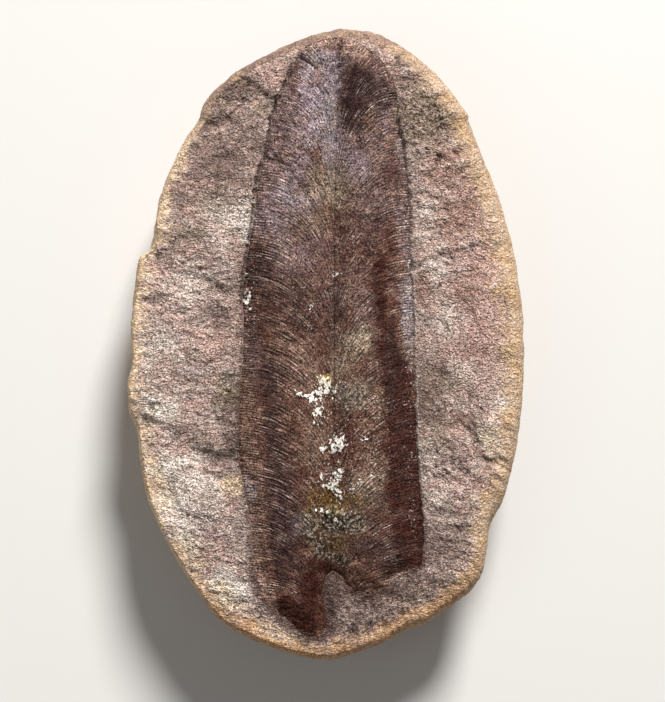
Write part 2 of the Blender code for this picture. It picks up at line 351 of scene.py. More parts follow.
def leafHeight(xy, inside):  # inside is the distance in from the margin
    y = xy[:, 1]
    onRight = xy[:, 0] > leaf["tipX"]
    mid = sideX("midrib", y)
    half = np.where(xy[:, 0] < mid, mid - sideX("veinLeft", y), sideX("veinRight", y) - mid)
    across = np.clip(np.abs(xy[:, 0] - mid) / half, 0.0, 1.0)
    vault = leaf["vault"] * (1.0 - np.abs(2.0 * across - 1.0) ** leaf["vaultPower"])
    vault = vault * smoothstep(*leaf["vaultStart"], inside)
    valley = -leaf["valleyDepth"] * np.exp(-((across / leaf["valleyHalfWidth"]) ** 2))
    valley = valley * smoothstep(*leaf["valleyEnd"], y)
    tip = np.where(onRight, smoothstep(*leaf["tipFadeRight"], y), smoothstep(*leaf["tipFadeLeft"], y))
    flushFrom = np.where(onRight, leaf["flushRight"], leaf["flushLeft"])
    flush = leaf["flushShare"] * smoothstep(flushFrom, flushFrom - leaf["flushRun"], y)
    flush = np.maximum(flush, leaf["baseFlushShare"] * nearBase(y))
    margin = -leaf["marginDrop"] * smoothstep(leaf["marginReach"], 0.0, inside)
    margin = margin * (1.0 - tip) * (1.0 - flush)
    return nodule["faceZ"] + vault + valley + margin + waves(xy, leaf["waves"])


# the stone

stone = {
    "around": 960,  # points in each ring of the sheet
    "underRows": 3,  # rings hidden under the leaf
    "faceRows": 74,
    "rimRows": 8,
    "backRows": 15,
    "innerShare": 0.12,  # how far the sheet runs on under the leaf, of the way to its middle
    "innerLeft": [
        (1.3, 44.2), (-3.1, 42.7), (-6.1, 37.2), (-8.7, 28.3), (-11.1, 15.2), (-12.2, 7.9),
        (-12.1, 2.0), (-12.7, -9.5), (-12.7, -15.5), (-11.1, -25.7), (-9.6, -29.2), (-6.0, -30.4),
        (0.7, -30.6),
    ],
    "innerRight": [
        (1.3, 44.2), (5.1, 43.2), (9.8, 37.8), (11.8, 24.6), (12.7, 6.3), (13.4, -16.9),
        (14.1, -26.5), (12.6, -29.4), (7.0, -30.5), (0.7, -30.6),
    ],
    "innerMiddle": (1.0, 6.0),
    "bedDepth": 0.5,  # of the stone below the leaf
    "buriedDepth": 2.0,  # more at the sheet's hidden start
    # ridges swing round towards the lower right and, less, towards the top
    "slantRight": -38.0,
    "slantTop": 12.0,
    "leftCalm": 0.28,  # how much lower the relief is on the left
    "ridgeHeight": 0.5,
    "ridges": {"sizes": (6.5, 3.6), "seed": 12.0, "octaves": 4, "decay": 0.95},
    "lumpHeight": 0.55,
    "lumps": {"sizes": (3.6, 2.3), "seed": 27.0, "octaves": 4, "decay": 0.85},
    "fineHeight": 0.12,
    "fine": {"sizes": (0.95, 0.62), "seed": 40.0, "octaves": 3, "decay": 0.6},
    "pitDepth": 0.16,
    "pits": {"sizes": (0.46, 0.42), "seed": 70.0, "octaves": 1},
    "rindHeight": 0.05,
    "rindGrain": {"sizes": (0.8, 0.8, 0.8), "seed": 90.0, "octaves": 3},
    "flankHeight": 0.16,
    "flankLumps": {"sizes": (2.4, 2.4, 1.8), "seed": 55.0, "octaves": 4},
    "backHeight": 0.35,
    "backLumps": {"sizes": (5.5, 5.5, 2.8), "seed": 64.0, "octaves": 3},
    "wobbleShare": 0.45,  # raggedness of stains, flakes and the rind's edge
    "wobble": {"sizes": (3.2, 2.4), "seed": 5.0, "octaves": 4},
    "ragged": {"sizes": (1.2, 0.7), "seed": 8.0, "octaves": 2},
    "seamWidth": 0.3,
    "seamDepth": 0.35,
    # where the seam between stone and leaf stands open: y at its lower and its upper end
    "gapLeft": ((4.0, 9.0), (41.6, 39.6)),
    "gapRight": ((14.0, 18.0), (31.0, 27.0)),
    "gapRightShare": 0.25,
    "rindStrength": 0.92,
    "flatPatchShare": 0.8,  # the last ring before the middle of the patch that it lies on
    "hollowReach": 6,  # rows and columns that a hollow or a crest is measured against
    "smoothFacets": [(24.0, -13.6, 2.6, 3.2, 20, 1), (-9.0, 38.8, 3.4, 2.4, 35, 1)],
    # cracks and, with a negative depth, raised lines: path, depth, reach to each side
    "lines": [
        ([(19.7, 31.5), (17.8, 30.0), (17.1, 28.1), (15.0, 23.8)], 0.35, 0.2, 0.2),
        ([(18.7, 10.4), (23.3, 11.4)], -0.16, 0.15, 0.3),
        ([(-21.4, 1.0), (-18.4, -0.9)], -0.16, 0.15, 0.3),
        ([(-27.1, -10.9), (-24.8, -11.7), (-23.2, -12.5), (-21.7, -13.6)], 0.2, 0.7, 0.9, 0.5),
        ([(-16.2, -9.0), (-16.2, -10.2), (-15.5, -11.4), (-13.7, -9.9)], 0.3, 0.2, 0.3),
        ([(-18.2, -15.4), (-16.2, -16.6), (-13.9, -16.6)], 0.45, 1.2, 1.4, 0.6),
        ([(-18.6, -17.8), (-16.2, -18.5), (-14.0, -18.0)], -0.35, 0.5, 0.5),
        ([(11.5, -33.9), (12.6, -33.4), (13.4, -34.1)], 0.3, 0.15, 0.2),
        ([(9.3, -34.8), (12.1, -33.6)], -0.25, 0.2, 0.4),
        ([(-26.1, -14.9), (-24.3, -15.2)], 0.25, 0.2, 0.3),
        ([(-18.5, 10.9), (-16.6, 10.5)], 0.25, 0.2, 0.4),
        ([(-16.6, 3.9), (-14.2, 3.4)], 0.25, 0.2, 0.4),
        ([(14.9, 3.6), (16.8, 3.0), (17.9, 1.7)], 0.22, 0.2, 0.4),
        ([(21.0, 4.6), (22.3, 1.5), (22.9, -1.9)], 0.22, 0.2, 0.3),
        ([(-16.8, 34.6), (-15.4, 37.0), (-12.6, 38.6), (-10.6, 37.4), (-9.0, 36.0), (-7.6, 35.0)],
         0.6, 0.3, 1.9, 0.5),
        ([(-18.8, 32.3), (-16.2, 31.8), (-14.2, 32.6), (-11.5, 35.3)], 0.35, 0.25, 0.8),
    ],
    # stains, with painted shade and painted light among them: x, y, two radii, turn, strength
    "stains": {
        # umber tint, partly painted shade on the upper left's slopes that face away from the light
        "umberAndPaintedShade": [
            (-17.0, 33.0, 3.5, 3.6, 20, 0.9), (-11.2, 31.5, 2.0, 4.5, 10, 0.8),
            (-15.0, 26.5, 5.6, 5.5, 20, 0.9), (-12.6, 36.8, 3.0, 1.9, 10, 1),
            (-21.0, 22.5, 3.4, 4.5, -15, 0.6), (20.0, 30.0, 2.4, 5.0, 30, 0.4),
            (-15.4, 3.6, 2.6, 2.4, 0, 0.8), (-13.6, -12.0, 2.2, 4.6, 0, 0.9),
            (-17.2, -23.0, 2.4, 2.0, 0, 0.4), (17.5, -27.0, 5.0, 5.0, 0, 0.8),
            (3.5, -38.5, 7.0, 4.0, 0, 0.7), (12.0, 38.6, 2.4, 2.4, 0, 0.7),
            (14.8, 33.0, 4.0, 5.0, 0, 0.4), (15.2, -8.6, 3.0, 4.6, 0, 1),
            (18.6, -16.0, 2.4, 5.0, 20, 0.5), (13.5, -34.5, 4.5, 2.6, 15, 0.6),
            (9.4, -35.8, 3.2, 1.3, 10, 1), (-22.0, 16.0, 3.0, 4.0, 0, 0.3),
        ],
        "brick": [
            (17.5, 25.0, 3.6, 4.5, 0, 0.9), (19.4, 18.6, 3.6, 5.4, 0, 0.9),
            (20.2, 8.2, 3.4, 2.2, 20, 0.9), (13.8, 8.0, 1.6, 2.6, 0, 0.8),
            (20.4, -0.9, 3.0, 1.6, -10, 0.6), (22.4, 26.0, 2.5, 5.0, 20, 0.6),
            (23.2, -20.0, 1.9, 3.0, 20, 0.8), (19.5, -11.4, 1.8, 1.4, 0, 0.8),
        ],
        # pale tint, partly painted light on the lower left and on bulges that face the light
        "paleAndPaintedLight": [
            (-20.6, -22, 6.1, 7, -20, 0.9), (-24.6, -9.6, 3.8, 2.8, 0, 1),
            (-22.8, -18.4, 3.4, 3.2, 0, 1), (-19.8, -27.2, 2.8, 3.2, 0, 1),
            (-14.0, -35.6, 3.4, 2.6, -35, 1), (-21.0, 8.0, 5.2, 3.0, 0, 0.7),
            (-24.2, -0.8, 3.2, 3.0, 0, 0.6), (-13.5, 18.5, 4.6, 3.6, 0, 0.6),
            (-11.2, 16.4, 1.6, 2.6, 0, 1), (-14.2, -5.2, 1.6, 1.6, 0, 0.5),
            (15.8, 11.6, 1.9, 3.2, 0, 0.35), (14.4, 18.6, 1.8, 3.4, 0, 0.3),
            (20.0, -4.6, 2.8, 2.2, -20, 0.8), (17.3, 2.9, 2.2, 3.0, 0, 0.45),
            (16.4, -24.6, 2.4, 3.2, 0, 0.8), (14.8, -16.0, 1.4, 5.0, 0, 0.3),
            (3.5, -38.8, 3.8, 3.2, 0, 0.25), (-5.2, -43.2, 3.2, 1.2, -20, 0.6),
            (26.0, -9.6, 1.8, 2.4, 0, 0.5), (24.2, -14.0, 2.3, 2.8, 20, 0.6),
            (10.6, -34.1, 1.9, 0.4, 25, 1),
        ],
        "rose": [
            (-16.2, -0.1, 2.3, 3.8, 0, 0.6), (-23.5, 7.1, 3.8, 3.2, 0, 0.4),
            (23, 6.4, 3.8, 11.7, 0, 0.8), (21, 18.8, 3.8, 5.8, 0, 0.6), (21, -3.8, 5, 4.4, 0, 0.5),
            (-7.9, 38.5, 2.9, 2.6, 0, 0.5), (-17.6, 23.9, 3.8, 4.4, 0, 0.3),
            (18.8, 26.8, 2.6, 2.9, 0, 0.5), (-24.2, 10.8, 2.3, 2.3, 0, 0.5),
        ],
        "olive": [
            (14.6, 33.0, 4.4, 5.0, 0, 0.9), (-14.3, -7, 2.3, 3.5, 0, 0.9),
            (-13.4, 36.6, 3.2, 1.9, 25, 0.9), (-9.6, 34.3, 2.2, 1.4, -20, 0.7),
            (-16.2, 20.8, 4, 3.4, 0, 0.3), (15.9, -6, 3.2, 3.5, 0, 0.5),
            (15.9, -12.5, 2.9, 4.4, 0, 0.4), (-20.6, 15.5, 3.8, 2.3, 0, 0.4),
            (13, -35.9, 3.8, 1.5, 20, 0.6),
        ],
        "straw": [
            (-13.4, -20.6, 2.2, 2, 0, 0.9), (-14.7, -37.3, 4.4, 2, -35, 0.7),
            (-8.2, -41.7, 5, 1.5, -20, 0.5), (21, -35.9, 3.8, 2, 35, 0.7),
            (15.2, 38.5, 4.1, 2, -40, 0.8), (18.6, 33.8, 2.0, 3.0, 35, 0.6),
            (24.2, -14.0, 2.6, 3.0, 20, 0.5), (-19.8, 32.7, 1.2, 2.9, 0, 0.3),
            (-23.6, -20.5, 1.5, 4.0, 20, 0.5), (-19.0, -30.0, 1.6, 3.6, 32, 0.5),
            (-25.6, -12.0, 1.4, 2.6, 0, 0.4),
        ],
        "plum": [
            (-17.2, -27.6, 3.5, 1.5, -10, 0.6), (3.5, -38.8, 5, 3.8, 0, 0.55),
            (15.9, -29.3, 2.9, 3.2, 0, 0.5), (-15.4, -18.0, 3.2, 1.8, 0, 0.8),
            (0.8, -36.5, 1.9, 5.4, 3, 1), (2.8, -36.8, 2.2, 2.0, 0, 0.6),
            (8.0, -36.9, 2.8, 1.6, 10, 0.8),
        ],
        # painted shadow of the leaf's edge on the stone below the notch
        "wineAndPaintedShadow": [
            (4.9, -36.1, 3.0, 1.2, -38, 0.95), (1.7, -35.2, 1.3, 2.6, 10, 0.5),
            (0.8, -39.0, 1.0, 3.0, 0, 0.35),
        ],
        # painted shade below ledges and cliffs, in troughs and beside the leaf's edge at the notch
        "shade": [
            (-19.4, -13.4, 3.4, 1.5, -28, 0.7), (-15.2, -16.4, 2.6, 1.1, 20, 0.5),
            (-15.6, -16.0, 2.8, 1.2, -15, 0.3), (-17.0, 31.6, 2.4, 1.0, 0, 1),
            (-12.6, 37.6, 2.4, 1.1, -20, 0.9), (-14.9, 35.9, 1.6, 0.9, 30, 0.6),
            (-8.6, 35.0, 2.2, 0.7, -25, 0.7), (-13.6, 33.4, 2.2, 0.35, 48, 0.7),
            (12.4, 40.2, 1.6, 0.4, -8, 0.8), (0.8, -36.0, 1.4, 5.4, 4, 0.8),
            (1.6, -42.3, 3.2, 1.2, 0, 0.8), (9.6, -36.0, 2.6, 0.8, 15, 0.9),
            (-17.0, 12.4, 2.6, 1.0, -20, 0.5), (-15.5, 28.0, 5.0, 5.5, 20, 0.35),
            (3.0, -41.5, 2.0, 1.4, 0, 0.4), (15.5, -4.1, 2.6, 1.5, 10, 0.7),
            (-10.2, 35.8, 2.2, 0.9, -45, 0.7), (20.7, -10.8, 2.6, 1.3, -20, 0.7),
            (-14.3, 7.9, 2, 1.2, -20, 0.7), (11.8, 40.2, 2, 0.7, -10, 0.8),
            (16.6, -31.5, 2.9, 1.2, -20, 0.4), (11.5, -36.2, 2.6, 1.2, 20, 0.8),
            (-12.5, -8.2, 0.9, 4.4, 0, 0.5), (4.7, -34, 3.5, 1.2, -40, 0.9),
            (-12.1, 10.8, 0.9, 3.8, 0, 0.4),
        ],
    },
}


def faceHeight(xy, inside, share, wobble):  # the broken face without its finer breaks
    calm = smoothstep(0.0, nodule["calmReach"], -inside)
    calm = nodule["calmWaves"] + (1.0 - nodule["calmWaves"]) * calm
    relief = nodule["faceLift"] + waves(xy, nodule["faceWaves"]) * calm
    for ledge in nodule["ledges"]:
        relief = relief + nodule["ledgeShare"] * ledgeHeight(xy, *ledge, nodule["ledgeRounding"])
    for centre, radii, turn, height in nodule["flakes"]:
        radius = ovalRadius(xy, centre, radii, turn) + 0.6 * wobble
        relief = relief + height * smoothstep(1.15, 0.75, radius)
    return nodule["faceZ"] + relief - nodule["faceCrown"] * share**2


def marginGap(xy):  # where the stone stands open along the leaf
    y = xy[:, 1]
    left, right = [smoothstep(*lower, y) * smoothstep(*upper, y)
                   for lower, upper in (stone["gapLeft"], stone["gapRight"])]
    return np.where(xy[:, 0] < leaf["tipX"], left, stone["gapRightShare"] * right)


def brokenHeight(xy, pitMask):  # low ridges running out from the leaf, grit and pores
    x, y = xy.T
    slant = np.radians(stone["slantRight"]) * smoothstep(8.0, -12.0, y) * smoothstep(0.0, 14.0, x)
    slant = slant + np.radians(stone["slantTop"]) * smoothstep(-10.0, 20.0, y)
    turned = np.column_stack([x * np.cos(slant) + y * np.sin(slant),
                              y * np.cos(slant) - x * np.sin(slant)])
    height = stone["ridgeHeight"] * (0.3 - np.abs(flatNoise(turned, **stone["ridges"])))
    lumps = np.abs(flatNoise(turned, **stone["lumps"]))
    height = height + stone["lumpHeight"] * (np.minimum(lumps, 0.5) - 0.2)
    height = height * (1.0 - stone["leftCalm"] * smoothstep(0.0, -10.0, x))
    height = height + stone["fineHeight"] * flatNoise(turned, **stone["fine"])
    pits = smoothstep(0.05, 0.35, flatNoise(turned, **stone["pits"]))
    return height - stone["pitDepth"] * pitMask * pits


def blurRows(values, reach):  # mean over a square window of a closed ring sheet
    padded = np.pad(values, ((reach, reach), (0, 0)), mode="edge")
    total = sum(padded[reach + k:reach + k + len(values)] for k in range(-reach, reach + 1))
    total = total / (2 * reach + 1)
    return sum(np.roll(total, k, axis=1) for k in range(-reach, reach + 1)) / (2 * reach + 1)


def stoneRings():  # the rim's outline, then every point of the face with its share of the way out
    around, underRows = stone["around"], stone["underRows"]
    outline = closedRing(nodule["left"], nodule["right"], around)
    inner = closedRing(stone["innerLeft"], stone["innerRight"], around)
    toRim = outline - inner
    toRim = toRim / np.linalg.norm(toRim, axis=1)[:, None]
    turn = np.arctan2(outline[:, 1] * nodule["rindSquash"], outline[:, 0])
    rind = nodule["rindExtra"] * np.cos(turn - math.radians(nodule["rindTurn"]))
    edge = outline - toRim * (nodule["rindWidth"] + rind)[:, None]
    start = inner - (inner - stone["innerMiddle"]) * stone["innerShare"]
    under = [start + (inner - start) * (k / underRows) for k in range(underRows)]
    shares = np.linspace(0.0, 1.0, stone["faceRows"] + 1)
    face = [inner + (edge - inner) * share for share in shares]
    share = np.repeat(np.concatenate([np.zeros(underRows), shares]), around)
    return outline, np.vstack(under + face), share


def openFace(flat, share, inside, wobble, pitMask):  # the break: large forms, then its fine relief
    form = faceHeight(flat, inside, share, wobble)
    calm = 0.6 + 0.4 * smoothstep(0.0, 2.0, -inside)  # lower beside the leaf
    chips = brokenHeight(flat, pitMask) * calm * (1.0 - 0.3 * smoothstep(0.9, 1.0, share))
    chips = chips * (1.0 - 0.7 * stainMask(flat, stone["smoothFacets"], 0.5 * wobble))
    for line in stone["lines"]:
        chips = chips + ledgeHeight(flat, *line)
    return form, chips


def levelAtNotch(top, chips, flat, inside):  # the stone meets the leaf's lobed base without a step
    level = smoothstep(-1.8, -0.2, inside) * smoothstep(-30.5, -32.5, flat[:, 1])
    return top * (1.0 - level) + (leafHeight(flat, np.zeros(len(flat))) + 0.25 * chips) * level


def sinkUnderLeaf(top, flat, inside, sink):
    underRows = stone["underRows"]
    bed = leafHeight(flat, np.maximum(inside, 0.0)) - stone["bedDepth"]
    rowShare = np.repeat(np.arange(underRows), stone["around"]) / underRows
    bed[:len(rowShare)] -= stone["buriedDepth"] * (1.0 - rowShare)
    return top * (1.0 - sink) + bed * sink


def stoneFlank(outline, last):  # rounded rim, domed back and the worn patch, from the face's last ring
    rimZ, rimRows, backRows = nodule["rimZ"], stone["rimRows"], stone["backRows"]
    rings = []
    for k in range(1, rimRows + 1):
        angle = math.pi / 2 * k / rimRows
        xy = outline + (last[:, :2] - outline) * (1.0 - math.sin(angle))
        rings.append(np.column_stack([xy, rimZ + (last[:, 2] - rimZ) * math.cos(angle)]))
    outward = outline / np.linalg.norm(outline, axis=1)[:, None]
    lowest = math.asin(rimZ / nodule["backDepth"])
    for k in range(1, backRows + 1):
        angle = lowest * k / backRows
        xy = outline * math.cos(angle)
        lump = waves(xy, nodule["backWaves"]) * math.sin(math.pi * k / backRows)
        xy = xy + outward * (lump * math.cos(angle))[:, None]
        z = rimZ - (nodule["backDepth"] + lump) * math.sin(angle)
        rings.append(np.column_stack([xy, np.maximum(z, nodule["lowestBack"])]))
    rings[-1][:, 2] = 0.0
    rings.append(rings[-1] * (stone["flatPatchShare"], stone["flatPatchShare"], 0.0))
    return np.vstack(rings)


def roughenFlank(flank):  # uneven weathered rind, smooth where it lies on the table
    rough = stone["rindHeight"] * grainNoise(flank, **stone["rindGrain"])
    rough = rough + stone["flankHeight"] * grainNoise(flank, **stone["flankLumps"])
    under = smoothstep(0.0, 4.0, nodule["rimZ"] - flank[:, 2])
    rough = rough + stone["backHeight"] * under * grainNoise(flank, **stone["backLumps"])
    lift = rough * smoothstep(0.0, 1.2, flank[:, 2])
    side = np.column_stack([flank[:, 0], flank[:, 1], (flank[:, 2] - nodule["rimZ"]) * 2.0])
    return flank + side / np.linalg.norm(side, axis=1)[:, None] * lift[:, None]


def rindMask(flat, share, grain, wobble):  # tan rind, further in on the right, the left and the base
    start = 0.95 - 0.09 * smoothstep(4.0, 24.0, flat[:, 0])
    start = start - 0.07 * smoothstep(-14.0, -24.0, flat[:, 0])
    start = start - 0.12 * smoothstep(-30.0, -42.0, flat[:, 1])
    return smoothstep(start - 0.04, start + 0.18, share + 0.09 * grain + 0.25 * wobble)


def filmMask(flat, inside, ragged, sink):  # thin leaf film left on the stone along the margin
    x, y = flat.T
    reach = 0.4 + 1.5 * nearBase(y)
    film = smoothstep(-reach, 0.0, inside + (0.35 + 0.3 * reach) * (ragged - 1.0)) * (1.0 - sink)
    film = film * (0.6 + 0.25 * nearBase(y))
    fadeFrom = np.where(x > leaf["tipX"], 34.0, 41.0)
    return film * smoothstep(fadeFrom, fadeFrom - 4.0, y)


def lipMask(flat, inside):  # painted highlight on the stone's broken lip along the right margin
    x, y = flat.T
    lip = smoothstep(0.2, 0.05, np.abs(inside + 0.2)) * smoothstep(-19.0, -16.0, y)
    return lip * smoothstep(17.5, 14.0, y) * (x > leaf["tipX"])


def closeRows(values):  # each ring ends where it starts
    return np.concatenate([values, values[:, :1]], axis=1)


def makeStone(material):
    around = stone["around"]
    outline, flat, share = stoneRings()
    inside = ringDistance(flat, leafRing)
    wobble = stone["wobbleShare"] * flatNoise(flat, **stone["wobble"])
    ragged = 1.0 + 1.2 * flatNoise(flat, **stone["ragged"])
    masks = {name: stainMask(flat, marks, wobble) for name, marks in stone["stains"].items()}

    form, chips = openFace(flat, share, inside, wobble, masks["olive"])
    grain = grainNoise(np.column_stack([flat, form]), **stone["rindGrain"])
    top = form + chips + stone["rindHeight"] * grain * smoothstep(0.9, 1.0, share)
    top = levelAtNotch(top, chips, flat, inside)
    sink = smoothstep(0.05, 0.5, inside)
    top = sinkUnderLeaf(top, flat, inside, sink)
    seam = smoothstep(stone["seamWidth"] * ragged, 0.0, np.abs(inside + 0.1)) * marginGap(flat)
    face = np.column_stack([flat, top - stone["seamDepth"] * seam])
    flank = roughenFlank(stoneFlank(outline, face[-around:]))
    sheet = np.vstack([face, flank]).reshape(-1, around, 3)
    x, y, z = np.moveaxis(sheet, 2, 0)

    relief = (form + chips).reshape(-1, around)
    relief = (relief - blurRows(relief, stone["hollowReach"])).ravel()
    # painted shade in the hollows and a painted highlight on the crests, from the relief against its
    # local mean
    masks["hollow"] = smoothstep(0.03, 0.26, -relief)
    masks["crest"] = smoothstep(0.03, 0.26, relief)
    # painted shade along the open seam between stone and leaf
    masks["seam"] = seam
    masks["lip"] = lipMask(flat, inside)
    masks["film"] = filmMask(flat, inside, ragged, sink)
    masks["beside"] = smoothstep(-2.6, -0.1, inside + 1.2 * wobble)
    masks["rind"] = rindMask(flat, share, grain, wobble) * stone["rindStrength"]
    for name, mask in masks.items():  # beyond the face there is rind alone
        beyond = np.full(len(flank), stone["rindStrength"] if name == "rind" else 0.0)
        masks[name] = np.append(mask, beyond).reshape(-1, around)
    masks["back"] = smoothstep(9.5, 5.0, z)
    masks["rindPink"] = smoothstep(12.0, 34.0, y) * (1.0 - 0.75 * smoothstep(6.0, 16.0, x))
    # the rind's brown towards the base is partly painted shade, its pale on the left partly painted
    # light
    masks["rindBrownAndPaintedShade"] = smoothstep(-26.0, -40.0, y)
    masks["rindPaleAndPaintedLight"] = smoothstep(-14.0, -24.0, x)

    points = closeRows(sheet) * unit - middle * unit
    bm = gridSheet(points, {name: closeRows(mask) for name, mask in masks.items()})
    bmesh.ops.remove_doubles(bm, verts=bm.verts, dist=1e-7)
    bmesh.ops.holes_fill(bm, edges=[e for e in bm.edges if e.is_boundary], sides=0)
    piece = finishPiece(bm, "ironstone_half", material)
    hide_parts("nodule_half")
    return piece


# the leaf

